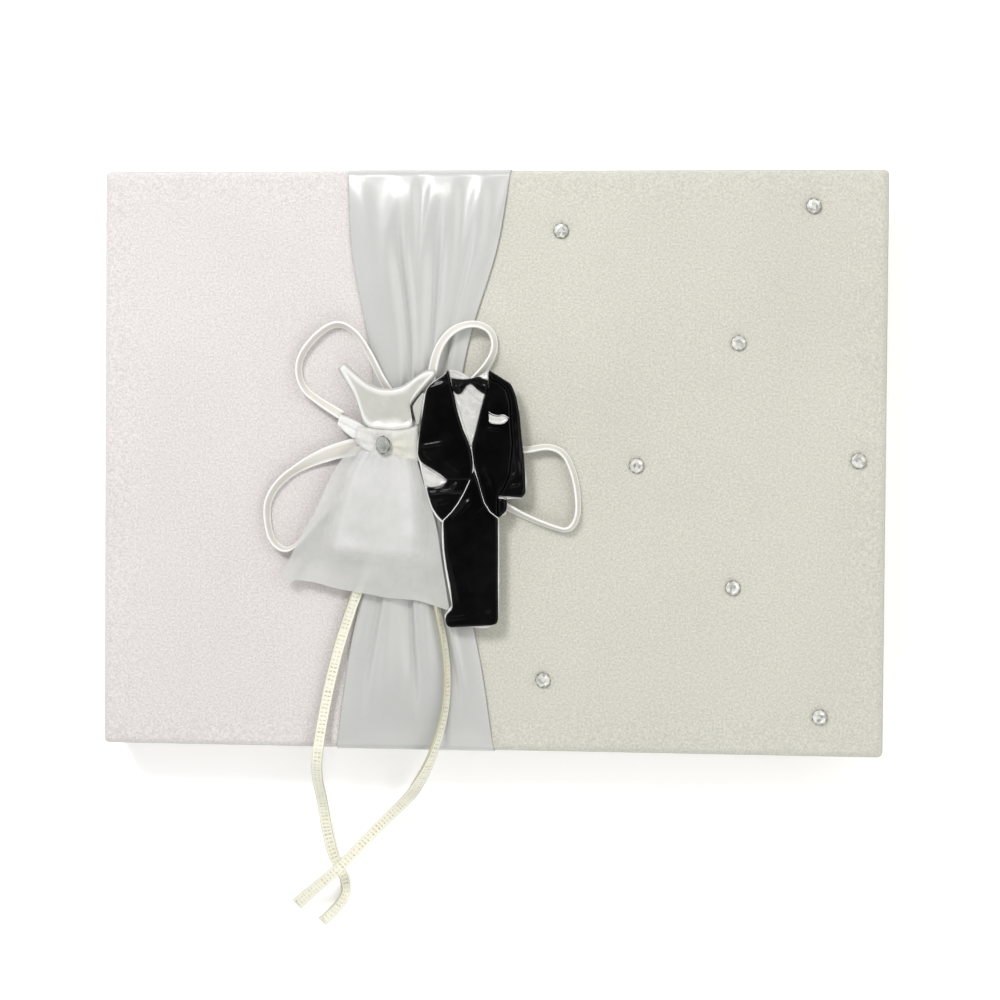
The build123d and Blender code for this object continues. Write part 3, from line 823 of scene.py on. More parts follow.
def makeSash():
    # rows run down the outside of the head edge, over the top and down the tail edge.
    # the cloth climbs off the edge to a flat puff, quickly in the hollows and slowly along
    # the streaks, and sharp folds, steep on their left, deepen towards the waist
    shape = sashShape
    edge, drop, lift = padShape["edge"], padShape["edgeDrop"], shape["lift"]
    topY = halfHeight - edge
    turn = np.linspace(np.pi / 2, 0, 14)[:-1]
    wallZ = np.linspace(coverUnder + 0.6, coverTop - padShape["pillow"] - drop, 6)[:-1]
    flatY = np.linspace(topY, -topY, 300)
    sink = padShape["pillow"] * np.exp(-(halfHeight - np.abs(flatY)) / padShape["pillowReach"])
    wall = np.stack([np.full(5, halfHeight + lift), wallZ], 1)
    arc = np.stack([topY + (edge + lift) * np.sin(turn),
                    coverTop - sink[0] - drop + (drop + lift) * np.cos(turn)], 1)
    arcNormal = np.stack([np.sin(turn), np.cos(turn)], 1)
    headSide = np.concatenate([wall, arc])
    headNormal = np.concatenate([np.tile([1.0, 0.0], (5, 1)), arcNormal])
    flat = np.stack([flatY, coverTop + lift - sink], 1)
    profile = np.concatenate([headSide, flat, (headSide * [-1, 1])[::-1]])
    normal = np.concatenate([headNormal, np.tile([0.0, 1.0], (len(flat), 1)),
                             (headNormal * [-1, 1])[::-1]])
    left = curveThrough(shape["left"], 400, 7)
    right = curveThrough(shape["right"], 400, 7)
    rowY = profile[:, 0]
    leftX = np.interp(-rowY, -left[:, 1], left[:, 0])
    rightX = np.interp(-rowY, -right[:, 1], right[:, 0])
    u = np.linspace(0, 1, 190)[None, :]
    y = rowY[:, None]
    fromEdge = np.clip(halfHeight - 1.0 - np.abs(y), 0, None)
    head = smoothStep(y, -10, 10)
    slow = sum(np.exp(-((u - place) / broad) ** 2) for place, broad in shape["streaks"])
    hollow, streak, tail = shape["climb"]
    climb = head * (hollow + streak * np.clip(slow, 0, 1)) + (1 - head) * tail
    sides = 1 - np.abs(2 * u - 1) ** 6
    rise = shape["puff"] * (1 - np.exp(-(fromEdge / climb) ** 1.5)) * (0.25 + 0.75 * sides)
    waist = smoothStep(fromEdge, 12, 60)
    leftBreadth, rightBreadth = shape["foldBreadth"]
    lipShare, lipAway, lipBreadth = shape["foldLip"]
    for end, folds in ((head, shape["headFolds"]), (1 - head, shape["tailFolds"])):
        for atEdge, atWaist, depth in folds:
            away = u - (atEdge + (atWaist - atEdge) * waist)
            broad = np.where(away < 0, leftBreadth, rightBreadth)
            deepen = smoothStep(fromEdge, 5, 34)
            rise = rise - end * depth * deepen * np.exp(-(away / broad) ** 2)
            rise = rise + end * lipShare * depth * deepen * np.exp(
                -((away - lipAway) / lipBreadth) ** 2)
    for place, broad, tall in shape["tailRidges"]:
        rise = rise + (1 - head) * tall * smoothStep(fromEdge, 6, 30) * np.exp(
            -((u - place) / broad) ** 2)
    rise = np.maximum(rise, 0.02)
    rise = rise + shape["ripple"] * softNoise(u * 30, y / 3, 9, 11) * smoothStep(fromEdge, 4, 20)
    x = leftX[:, None] + (rightX - leftX)[:, None] * u
    points = np.stack([x, y + normal[:, :1] * rise, profile[:, 1:] + normal[:, 1:] * rise], -1)
    rows, columns = x.shape
    along = np.concatenate([[0], np.cumsum(np.linalg.norm(np.diff(profile, axis=0), axis=1))])
    uv = np.stack([x, np.broadcast_to(along[:, None], x.shape)], -1)
    part = (points.reshape(-1, 3), gridFaces(rows, columns)[:, ::-1], uv.reshape(-1, 2))
    sash = meshPiece("gathered_sash", part, materials["sashSatin"], recalc=False)
    skin = sash.modifiers.new("thickness", "SOLIDIFY")
    skin.thickness = shape["thickness"] * mm
    skin.offset = -1
    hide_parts("satin_sash")
    return sash


sashPiece = makeSash()
print("sash gathered")


def panelPart(left, right, base, height, rows=70, across=26, edge=0.7, bulge=0.25,
              endShare=0.4, rounding=0.6, relief=None, rim=0.0):
    # a raised plate between two edge curves: quarter-round edges, slightly domed top,
    # flat underside, and where asked a raised bead just inside the edges
    leftLine = curveThrough(left, rows, rounding)
    rightLine = curveThrough(right, rows, rounding)
    s = np.sin(np.linspace(-1, 1, across) * np.pi / 2)
    half = np.linalg.norm(rightLine - leftLine, axis=1) / 2
    mid = (rightLine + leftLine) / 2
    steps = np.linalg.norm(np.diff(mid, axis=0), axis=1)
    along = np.concatenate([[0], np.cumsum(steps)])
    fromEnd = np.minimum(along, along[-1] - along)
    flatXy = mid[:, None, :] + (rightLine - mid)[:, None, :] * s[None, :, None]
    fromSide = (1 - np.abs(s))[None, :] * np.maximum(half, 1e-6)[:, None]
    sideRound = np.sqrt(1 - (1 - np.clip(fromSide / edge, 0, 1)) ** 2)
    endRound = np.sqrt(1 - (1 - np.clip(fromEnd / edge, 0, 1)) ** 2)
    endRound = (endShare + (1 - endShare) * endRound)[:, None]
    dome = 1 + bulge * (1 - s ** 2)[None, :] * np.clip(half / 4, 0, 1)[:, None]
    top = height * sideRound * endRound * dome
    top = top + rim * np.exp(-((fromSide - edge) / (0.6 * edge)) ** 2) * endRound
    if relief is not None:
        top = top + relief(flatXy[..., 0], flatXy[..., 1]) * sideRound * endRound
    upper = np.concatenate([flatXy, (base + top)[..., None]], -1)
    lower = np.concatenate([flatXy, np.full((*flatXy.shape[:2], 1), base)], -1)[:, ::-1]
    return closedLoft(np.concatenate([upper, lower[:, 1:-1]], 1))


def beadPart(points, radii, z, count=60, sides=10):
    # a round bead along a path, its radius given at even shares of the length
    line = curveThrough(points, count, 0.5)
    forward = np.gradient(line, axis=0)
    forward /= np.linalg.norm(forward, axis=1, keepdims=True)
    side = np.stack([forward[:, 1], -forward[:, 0]], 1)
    radius = np.interp(np.linspace(0, 1, count), np.linspace(0, 1, len(radii)), radii)
    angle = np.arange(sides) * 2 * np.pi / sides
    flatXy = line[:, None] + side[:, None] * (radius[:, None] * np.cos(angle))[..., None]
    height = z + radius[:, None] * np.sin(angle)
    return closedLoft(np.concatenate([flatXy, height[..., None]], -1))


def foldRelief(folds, amount, scale, seed):
    # soft dents plus drawn folds: each fold is a ridge, or a groove where its height is
    # negative, from a start to an end, with a bell-shaped section that fades at both ends
    def at(x, y):
        total = amount * softNoise(x, y, scale, seed)
        for x0, y0, x1, y1, wide, tall in folds:
            length = math.hypot(x1 - x0, y1 - y0)
            ux, uy = (x1 - x0) / length, (y1 - y0) / length
            t = (x - x0) * ux + (y - y0) * uy
            d = (x - x0) * -uy + (y - y0) * ux
            fade = smoothStep(t, -0.3 * length, 0.15 * length)
            fade = fade * (1 - smoothStep(t, 0.85 * length, 1.3 * length))
            total = total + tall * np.exp(-(d / wide) ** 2) * fade
        return total
    return at


def castPart(base, lift=0.0, dents=None, folds=(), **size):
    # one panel of a cast piece: dents is the depth, size and seed of its soft dents, and
    # each fold is a start, an end, a width and a height
    if dents:
        size["relief"] = foldRelief(folds, *dents)
    return panelPart(base=base + lift, **size)


def castPiece(name, panels, finish, base):
    # all panels of a piece, joined into one mesh
    part = joinParts([castPart(base, **values) for values in panels.values()])
    return meshPiece(name, part, materials[finish])


groomShape = {
    "groom_jacket": {
        # the front with the left sleeve, ending at the cuff
        "leftFront": dict(
            height=1.0, rows=120, across=40, dents=(0.10, 9, 21),
            left=[(-12.4, 28.1), (-12.9, 27.0), (-18.0, 23.4), (-19.1, 21.6), (-20.1, 15.2),
                  (-21.3, 6.5), (-21.6, 1.9), (-20.6, -0.4), (-14.7, -3.9), (-12.2, -6.0)],
            right=[(-12.2, 28.1), (-11.7, 25.8), (-10.5, 21.2), (-10.2, 19.8), (-9.2, 15.3),
                   (-7.6, 10.2), (-6.0, 6.6), (-5.0, 3.8), (-4.3, -0.5), (-4.2, -4.1),
                   (-4.8, -6.0)],
            folds=[(-19.4, 4.6, -13.6, 5.6, 0.6, 0.24), (-19.2, 2.6, -17.2, 0.8, 0.5, 0.22),
                   (-18.2, 22.4, -13.0, 24.0, 0.7, 0.25), (-13, 15, -8.8, 16.6, 1.5, 0.18),
                   (-14, 2.0, -7.5, -3.5, 1.2, 0.2)]),
        "leftSkirt": dict(
            height=0.92, rows=70, across=34, dents=(0.08, 6, 22),
            left=[(-12.1, -5.4), (-13.2, -7.6), (-15.8, -8.8), (-18.8, -8.0), (-18.1, -10.9),
                  (-17.0, -14.2), (-15.4, -16.8), (-13.8, -18.3)],
            right=[(-4.3, -3.6), (-5.3, -6.1), (-6.2, -8.2), (-7.1, -10.0), (-8.9, -13.2),
                   (-10.9, -15.9), (-12.6, -17.6), (-13.6, -18.4)],
            folds=[(-17.6, -10.0, -11.6, -9.3, 0.35, 0.42), (-11.6, -9.3, -9.4, -7.0, 0.35, 0.35),
                   (-11.0, -9.6, -6.4, -9.6, 0.3, 0.3), (-15.4, -13.4, -12.0, -12.2, 0.9, 0.2)]),
        "rightFront": dict(
            height=1.05, rows=120, across=36, dents=(0.09, 9, 23),
            left=[(0.4, 28.1), (0.3, 25.0), (0.2, 22.0), (-1.0, 19.8), (-2.5, 14.3),
                  (-3.5, 9.7), (-4.6, 5.6), (-4.7, 3.8), (-4.2, -0.5), (-3.3, -3.7),
                  (-1.9, -8.7), (-0.7, -12.7), (1.2, -15.7), (3.5, -17.4)],
            right=[(0.6, 28.1), (0.9, 25.0), (3.3, 24.6), (6.2, 22.0), (7.2, 18.2),
                   (7.5, 11.8), (8.1, 5.5), (7.2, -4.0), (5.6, -8.0), (3.6, -11.0),
                   (3.5, -14.0), (3.7, -17.4)],
            folds=[(0.6, 10.0, 4.2, 9.6, 0.3, 0.25), (-1.0, 19, -3.6, 4, 0.6, 0.25),
                   (0.5, -2, 3.2, -9.5, 1.2, 0.2)]),
        "rightSleeve": dict(
            height=1.15, rows=110, across=26, dents=(0.10, 6, 24),
            left=[(0.5, 28.0), (0.9, 25.0), (3.2, 24.5), (6.0, 21.9), (7.0, 18.2),
                  (7.3, 11.8), (7.9, 5.5), (7.0, -4.0), (5.5, -8.0), (3.7, -10.6)],
            right=[(0.6, 28.1), (3.9, 26.1), (7.4, 23.9), (9.0, 20.0), (10.1, 14.4),
                   (10.8, 7.0), (11.5, 1.5), (11.9, -4.0), (12.1, -9.9), (10.9, -11.1)],
            folds=[(4.6, -7.4, 9.0, -3.8, 0.45, 0.32), (8.0, -7.6, 10.2, -7.0, 0.35, 0.3),
                   (8.8, 3.0, 9.8, -3.0, 0.7, 0.3), (9.4, 12.0, 10.2, 1.0, 0.5, 0.2)]),
        "hand": dict(
            height=1.0, rows=30, across=16, edge=1.0, bulge=0.5,
            left=[(3.4, -11.2), (3.3, -14.0), (3.5, -16.2), (3.8, -17.3)],
            right=[(6.2, -11.4), (6.4, -13.4), (6.2, -15.2), (4.2, -17.2)])},
    "groom_trousers": {
        "legs": dict(
            height=0.8, rows=140, across=40, rounding=0.5, dents=(0.08, 10, 25),
            left=[(-4.1, -3.0), (-5.3, -6.1), (-7.1, -10.0), (-8.9, -13.2), (-10.9, -15.9),
                  (-13.5, -18.6), (-13.4, -21.6), (-13.1, -27.6), (-12.3, -33.0),
                  (-11.1, -39.0), (-10.4, -44.7), (-10.6, -46.0), (-12.2, -47.4),
                  (-12.6, -48.8), (-12.2, -51.0), (-11.0, -51.5)],
            right=[(-3.9, -3.0), (-2.8, -6.0), (-1.9, -8.7), (-0.7, -12.7), (1.2, -15.7),
                   (3.6, -17.5), (3.6, -21.4), (3.7, -28.0), (3.7, -35.0), (3.8, -42.0),
                   (3.9, -48.8), (3.4, -50.3), (1.8, -50.7)],
            folds=[(-12.2, -22, -11.6, -30, 0.7, 0.2), (-11.4, -28, -7.9, -43, 1.3, 0.32),
                   (-5.2, -12.4, -9.6, -17.2, 0.8, 0.3), (-3.0, -16.6, 0.2, -13.8, 0.5, 0.2),
                   (-4.6, -37, -4.2, -40, 0.8, 0.2), (-11.6, -48.8, -6.0, -48.0, 0.6, 0.22),
                   (0.4, -46.6, 1.4, -46.0, 0.35, 0.3)])},
    "groom_bow_tie": {
        "leftWing": dict(
            height=1.35, rows=44, across=24, edge=0.8, bulge=0.4, dents=(0.05, 3, 31),
            left=[(-11.3, 25.4), (-9.2, 25.5), (-7.3, 25.3), (-5.4, 25.5)],
            right=[(-10.6, 21.6), (-9.4, 20.3), (-7.9, 20.8), (-6.8, 22.8), (-5.4, 24.0)],
            folds=[(-5.8, 24.8, -9.6, 23.6, 0.35, -0.5), (-10.4, 24.6, -8.4, 21.6, 0.4, 0.25)]),
        "rightWing": dict(
            height=1.35, rows=44, across=24, edge=0.8, bulge=0.4, dents=(0.05, 3, 32),
            left=[(-5.1, 25.5), (-3.8, 26.0), (-2.6, 26.3), (-1.0, 25.7), (0.1, 24.9)],
            right=[(-5.1, 23.9), (-3.6, 22.4), (-2.4, 21.5), (-1.2, 20.6), (0.1, 20.7)],
            folds=[(-4.6, 24.8, -1.0, 23.8, 0.35, -0.5), (-3.4, 25.2, -0.8, 24.6, 0.35, 0.25)]),
        "knot": dict(
            height=1.55, rows=20, across=14, edge=0.6, bulge=0.4,
            left=[(-6.0, 25.5), (-5.2, 25.7), (-4.5, 25.5)],
            right=[(-6.0, 23.9), (-5.2, 23.7), (-4.5, 23.8)])},
    # white parts painted grey as shade: the shirt front, two collar wings, and the cuff with its
    # hand
    "shirt": {
        "front": dict(
            height=0.4, rows=60, across=30, edge=0.5, rim=0.12, dents=(0.08, 5, 41),
            left=[(-10.4, 24.0), (-10.2, 19.8), (-7.8, 12.4), (-5.2, 4.6)],
            right=[(0.0, 24.0), (-0.8, 19.8), (-2.6, 12.4), (-4.5, 4.6)],
            folds=[(-6.9, 22.3, -2.0, 18.0, 0.3, -0.45), (-6.2, 22.8, -1.6, 18.8, 0.4, 0.25),
                   (-8.9, 18.4, -4.6, 15.6, 0.35, -0.3), (-4.6, 15.8, -5.0, 12.0, 0.35, -0.3),
                   (-5.0, 9.0, -4.4, 8.0, 0.3, -0.2)]),
        "leftCollar": dict(
            height=0.8, rows=30, across=18, edge=0.6, rim=0.1, dents=(0.06, 3, 42),
            left=[(-12.0, 28.3), (-9.8, 28.2), (-7.7, 27.2), (-5.3, 25.9)],
            right=[(-11.6, 25.6), (-9.8, 25.0), (-7.7, 24.8), (-5.3, 25.0)],
            folds=[(-10.4, 27.2, -7.6, 26.0, 0.3, -0.3)]),
        "rightCollar": dict(
            height=0.8, rows=30, across=18, edge=0.6, rim=0.1, dents=(0.06, 3, 43),
            left=[(-4.8, 25.4), (-2.6, 26.2), (-1.2, 27.0), (0.2, 27.8)],
            right=[(-4.8, 24.6), (-2.6, 24.8), (-1.2, 24.8), (0.4, 25.0)],
            folds=[(-2.6, 25.9, -0.4, 26.6, 0.3, -0.35)]),
        "cuff": dict(
            height=0.7, rows=40, across=22, edge=0.6, rim=0.18, dents=(0.08, 3, 44),
            left=[(-20.4, -0.9), (-17.8, -2.5), (-14.8, -4.4), (-12.2, -6.1)],
            right=[(-18.9, -7.9), (-17.4, -8.5), (-15.0, -8.2), (-12.5, -6.9)],
            folds=[(-18.8, -3.8, -14.6, -5.8, 0.5, -0.35), (-17.6, -6.4, -15.4, -7.2, 0.4, 0.2)])},
    # each bead is its path and its radii
    "piping": [([(-4.75, 4.0), (-4.2, 0), (-4.15, -2.7), (-5.3, -6.1), (-7.1, -10.0),
                 (-8.9, -13.2), (-10.9, -15.9), (-13.5, -18.5)], [0.07, 0.11, 0.13, 0.14]),
               ([(-2.6, -6.2), (-1.9, -8.7), (-0.7, -12.7), (1.2, -15.7), (3.6, -17.4)],
                [0.04, 0.07, 0.13, 0.14]),
               ([(3.8, -11.25), (5.0, -11.45), (6.0, -11.7)], [0.16, 0.2, 0.14])],
    "pipingLift": 0.62,
    "pocket": dict(
        lift=0.85, height=0.6, rows=40, across=20, edge=0.5, rim=0.2, dents=(0.06, 2, 45),
        left=[(0.5, 14.9), (1.6, 14.2), (3.4, 13.9), (5.2, 14.3), (6.5, 13.3)],
        right=[(0.6, 12.0), (1.6, 11.4), (4.0, 11.2), (5.5, 11.6), (6.6, 12.7)]),
    "pocketFold": ([(0.6, 15.3), (1.7, 14.4), (3.4, 14.1), (5.2, 14.4), (6.8, 13.4)],
                   [0.08, 0.16, 0.06, 0.2, 0.08]),
    "pocketFoldLift": 1.35,
}


def makeGroom():
    # black castings, the shirt in white darkened as painted shade with its white piping, then the
    # pocket square
    shape = groomShape
    for node in ("groom_jacket", "groom_trousers", "groom_bow_tie"):
        piece = castPiece(node + "_casting", shape[node], "blackResin", reliefZ)
        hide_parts(node)
    shirt = castPiece("groom_shirt_casting", shape["shirt"], "shadedWhite", reliefZ)
    lines = [beadPart(*bead, reliefZ + shape["pipingLift"]) for bead in shape["piping"]]
    piping = meshPiece("groom_piping", joinParts(lines), materials["whiteResin"])
    parts = [castPart(reliefZ, **shape["pocket"]),
             beadPart(*shape["pocketFold"], reliefZ + shape["pocketFoldLift"])]
    square = meshPiece("groom_pocket_square_casting", joinParts(parts),
                       materials["shadedWhite"])
    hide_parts("groom_pocket_square")


makeGroom()


brideShape = {
    "bodice": {
        "front": dict(
            height=1.35, rows=130, across=44, edge=1.35, bulge=-0.12, rounding=1.2, rim=0.4,
            dents=(0.05, 8, 51),
            left=[(-46.9, 28.2), (-43.9, 23.6), (-41.4, 19.8), (-39.8, 15.0), (-38.8, 11.4),
                  (-36.6, 9.4), (-30, 8.8), (-23.4, 9.6), (-22.8, 11.6), (-23.9, 13.8),
                  (-24.5, 16.6), (-22.9, 18.8), (-20.3, 21.9), (-18.0, 24.3), (-16.0, 26.3)],
            right=[(-44.6, 30.4), (-43.0, 28.9), (-40.2, 26.2), (-37.0, 23.8), (-33.6, 22.5),
                   (-30.0, 22.3), (-27.2, 22.9), (-24.3, 24.6), (-21.4, 26.9), (-18.7, 28.5),
                   (-16.4, 28.3)],
            folds=[(-34, 11.4, -27, 11.8, 1.2, 0.2)]),
        "sideStrip": dict(
            height=1.1, rows=50, across=16, edge=0.5, rounding=0.8, rim=0.1,
            left=[(-20.4, 21.0), (-21.9, 19.2), (-23.6, 16.8), (-22.9, 14.0), (-22.2, 11.2)],
            right=[(-19.2, 21.0), (-19.8, 18.6), (-20.2, 15.6), (-20.8, 12.6),
                   (-21.1, 11.0)])},
    "wrap": dict(
        height=1.5, rows=110, across=64, edge=1.6, bulge=0.15, rounding=1.2,
        left=[(-40.6, 10.8), (-36.6, 10.2), (-32.3, 10.4), (-28.7, 10.1), (-25.9, 10.0),
              (-21.6, 11.0)],
        right=[(-41.4, 5.6), (-38.3, 2.8), (-34.7, 0.4), (-32.3, -0.6), (-25.1, -0.4),
               (-21.4, -0.3)]),
    "wrapSunk": 0.2, "gather": (-32.2, 4.7), "glueSpot": (-26.6, 3.6),
    # the tab of folded ribbon left of the waist
    "tab": {"fold": dict(
        lift=-2.2, height=2.3, rows=50, across=28, edge=0.5, bulge=0.05, endShare=0.9,
        rounding=0.4, dents=(0.04, 6, 53),
        left=[(-47.0, 10.9), (-44.8, 8.6), (-42.2, 6.6), (-39.6, 6.2), (-36.5, 6.4)],
        right=[(-46.2, 14.3), (-43.4, 13.4), (-40.2, 12.0), (-37.2, 10.2), (-35.0, 9.2)],
        folds=[(-46.4, 11.8, -37.4, 7.2, 0.35, -0.5)])},
    "knot": {"wrap": dict(
        height=2.4, rows=40, across=24, edge=1.6, bulge=0.1, dents=(0.15, 5, 54),
        left=[(-30, 12.6), (-26, 13.0), (-20, 13.0), (-14.4, 12.4)],
        right=[(-30, 3.6), (-26, 3.0), (-20, 3.0), (-14.4, 3.6)],
        folds=[(-29, 9, -15, 8, 0.8, -0.4)])},
}


def crushedTulle(x, y):
    # folds drawn together at the stone: ridges by the angle round it, and a bead of glue
    gatherX, gatherY = brideShape["gather"]
    glueX, glueY = brideShape["glueSpot"]
    away = np.hypot(x - gatherX, y - gatherY)
    angle = np.arctan2(y - gatherY, x - gatherX)
    ridge = np.cos(9 * angle + 1.2 * np.sin(2 * angle)) * smoothStep(away, 1.5, 6)
    second = np.cos(17 * angle + 2.0) * smoothStep(away, 3, 9)
    glue = 0.35 * np.exp(-(np.hypot(x - glueX, y - glueY) / 1.6) ** 2)
    return 0.18 * ridge + 0.08 * second + 0.14 * softNoise(x, y, 5, 52) + glue


def makeBride():
    # bodice, waist tulle, and the tab and knot of the bow behind them
    shape = brideShape
    bodice = castPiece("bride_bodice_casting", shape["bodice"], "pearlResin", charmZ)
    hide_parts("bride_bodice")
    wrap = panelPart(base=charmZ - shape["wrapSunk"], relief=crushedTulle, **shape["wrap"])
    tulle = meshPiece("bride_waist_tulle", wrap, materials["crushedTulle"])
    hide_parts("bride_waist_wrap")
    tab = castPiece("bow_tab_fold", shape["tab"], "tabSatin", charmZ)
    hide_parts("bow_tab")
    knot = castPiece("bow_knot_wrap", shape["knot"], "tabSatin", boxMm("bow_knot")[0][2])
    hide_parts("bow_knot")


makeBride()
print("couple cast")


def skirtLayer(name, shape):
    # ruled between two side edges, fanning from the gathered waist to the hem; broad soft
    # folds open out on the way down
    rows, columns = 100, 190
    leftLine = curveThrough(shape["left"], rows, 2.0)
    rightLine = curveThrough(shape["right"], rows, 2.0)
    u = np.linspace(0, 1, columns)[None, :]
    v = np.linspace(0, 1, rows)[:, None]
    straight = leftLine[:, None, :] * (1 - u[..., None]) + rightLine[:, None, :] * u[..., None]
    hemLine = curveThrough(shape["hem"], columns, 0.9)
    pull = hemLine - straight[-1]
    flatXy = straight + pull[None] * (v ** 3)[..., None]
    lift = np.zeros((rows, columns))
    for centre, broad, tall, lean in shape["folds"]:
        lift += tall * np.exp(-((u - centre - lean * (v - 0.5)) / broad) ** 2) * (
            0.35 + 0.65 * v)
    body = shape["belly"] * np.sin(np.pi * u) * np.sin(np.pi * (0.1 + 0.8 * v))
    z = shape["top"] + (shape["low"] - shape["top"]) * v + lift + body
    z = z + skirtShape["ripple"] * softNoise(flatXy[..., 0], flatXy[..., 1], 14, shape["seed"])
    # small pleats radiating from the waist, fading out before the middle
    count, tall, reach = skirtShape["pleats"]
    z = z + tall * np.cos(2 * np.pi * count * u + 2.0 * np.sin(5 * u)) * np.exp(
        -(v / reach) ** 2)
    points = np.concatenate([flatXy, z[..., None]], -1)
    uv = np.stack([np.broadcast_to(u, z.shape), np.broadcast_to(v, z.shape)], -1)
    part = (points.reshape(-1, 3), gridFaces(rows, columns)[:, ::-1], uv.reshape(-1, 2))
    layer = meshPiece(name, part, materials[shape["finish"]], recalc=False)
    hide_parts(shape["node"])
    return layer


skirtShape = {
    "ripple": 0.10,
    "pleats": (9, 0.10, 0.25),  # how many, their height, and their reach down the skirt
    # each fold is its share of the width, its breadth, its height and its lean
    "longLayer": {
        "finish": "organza",
        "node": "skirt_long_layer", "top": 28.2, "low": 27.3, "belly": 0.4, "seed": 61,
        "left": [(-41.0, 4.6), (-44.0, 2.0), (-46.9, -1.6), (-50.4, -8.6), (-53.9, -16.6),
                 (-57.6, -22.5), (-60.8, -28.8), (-64.3, -36.4)],
        "right": [(-22.0, 0.8), (-20.4, -5), (-17.4, -14), (-15.4, -21), (-14.0, -31),
                  (-11.6, -44.6)],
        "hem": [(-64.3, -36.6), (-61.4, -38.4), (-60.0, -37.4), (-53.3, -38.2), (-47.3, -39.9),
                (-42.1, -40.9), (-35.9, -41.8), (-31.4, -42.7), (-26, -43.0), (-20.9, -43.5),
                (-15.9, -45.0), (-11.4, -46.4)],
        "folds": [(0.04, 0.05, 0.5, 0.0), (0.16, 0.05, -0.35, -0.04), (0.30, 0.10, 0.45, -0.1),
                  (0.47, 0.04, -0.3, -0.05), (0.60, 0.09, 0.4, 0.05), (0.76, 0.04, -0.35, 0.08),
                  (0.88, 0.06, 0.5, 0.08)]},
    "shortLayer": {
        "finish": "topOrganza",
        "node": "skirt_short_layer", "top": 28.7, "low": 28.5, "belly": 0.4, "seed": 67,
        "left": [(-40.0, 3.2), (-42.8, -0.2), (-45.4, -5.0), (-48.6, -13.6), (-51.0, -22.0),
                 (-52.4, -30.2)],
        "right": [(-22.8, 0.6), (-21.0, -5), (-19.2, -14), (-18.4, -21), (-18.6, -28),
                  (-19.4, -33.4)],
        "hem": [(-52.4, -30.4), (-48.0, -31.1), (-44.0, -31.0), (-39.0, -31.3), (-31, -32.4),
                (-22.7, -33.3), (-19.4, -33.6)],
        "folds": [(0.10, 0.06, 0.25, -0.05), (0.26, 0.05, -0.15, -0.1), (0.48, 0.12, 0.3, 0.0),
                  (0.72, 0.05, -0.15, 0.08), (0.88, 0.07, 0.25, 0.06)]},
}


def makeSkirt():
    # two layers of organza, the short one over the long one
    layer = skirtLayer("skirt_long_organza", skirtShape["longLayer"])
    layer = skirtLayer("skirt_short_organza", skirtShape["shortLayer"])


makeSkirt()
print("skirt gathered")


def stonePart(x, y, z, diameter, height, sides, turn, tallness=1.0, table=0.34):
    # flat back, low girdle, two rings of kite facets and a flat table
    angle = np.arange(sides) * 2 * np.pi / sides + turn
    half = angle + np.pi / sides
    radius = diameter / 2
    levels = [(radius * 0.96, 0.0, angle), (radius, 0.2 * height, angle),
              (radius * (0.7 + 0.4 * table), 0.6 * height, half),
              (radius * (0.4 + 0.6 * table), 0.88 * height, angle),
              (radius * table, height, half)]
    rings = np.stack([np.stack([x + r * np.cos(a), y + tallness * r * np.sin(a),
                                np.full(sides, z + h)], 1) for r, h, a in levels])
    return closedLoft(rings)


coverStone = {"diameter": 5.0, "sides": 8, "turn": 0.4, "table": 0.45}
waistStone = {"diameter": 4.8, "height": 2.2, "sides": 6, "turn": 0.5, "tallness": 1.25,
              "table": 0.6}
waistStoneSunk = 0.6


def makeStones():
    # eight stones sunk in their dips, each turned a little further, and the waist's own
    low, high = boxMm("rhinestones")
    shape = coverStone
    parts = [stonePart(x, y, coverTop - padShape["dimple"], shape["diameter"],
                       high[2] - low[2], shape["sides"], shape["turn"] * k,
                       table=shape["table"])
             for k, (x, y) in enumerate(stones)]
    piece = meshPiece("cover_stones", joinParts(parts), materials["foiledStone"], smooth=False)
    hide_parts("rhinestones")
    waistLow, waistHigh = boxMm("bride_waist_stone")
    centre = (waistLow + waistHigh) / 2
    stone = stonePart(centre[0], centre[1], waistLow[2] - waistStoneSunk, **waistStone)
    piece = meshPiece("waist_stone", stone, materials["greyStone"], smooth=False)
    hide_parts("bride_waist_stone")


glueShape = {"places": [(0, -36), (3.6, 15.6), (-37.2, 18.4)], "radius": 2.3, "waist": 0.35,
             "foot": 0.12}


def makeGlue():
    # flattened drops, wider at the foot, each a little uneven
    low, high = boxMm("glue_dots")
    rows, columns = 14, 28
    theta = np.linspace(0, 2 * np.pi, columns, endpoint=False)
    t = np.linspace(0, 1, rows)
    drops = []
    for k, (x, y) in enumerate(glueShape["places"]):
        waist = 1 - glueShape["waist"] * np.sin(np.pi * t) + glueShape["foot"] * (1 - t)
        uneven = 1 + 0.1 * np.sin(2 * theta + k) + 0.06 * np.sin(3 * theta + 2 * k)
        reach = glueShape["radius"] * waist[:, None] * uneven[None, :]
        height = low[2] + (high[2] - low[2]) * t
        drops.append(closedLoft(np.stack([x + reach * np.cos(theta), y + reach * np.sin(theta),
                                          np.broadcast_to(height[:, None], reach.shape)], -1)))
    glue = meshPiece("glue_drops", joinParts(drops), materials["driedGlue"])
    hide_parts("glue_dots")


makeStones()
makeGlue()
print("stones and glue set")


pageShape = {"leaves": 54, "unevenness": 0.12, "groove": 0.16, "topInset": 0.1, "perSide": 60}


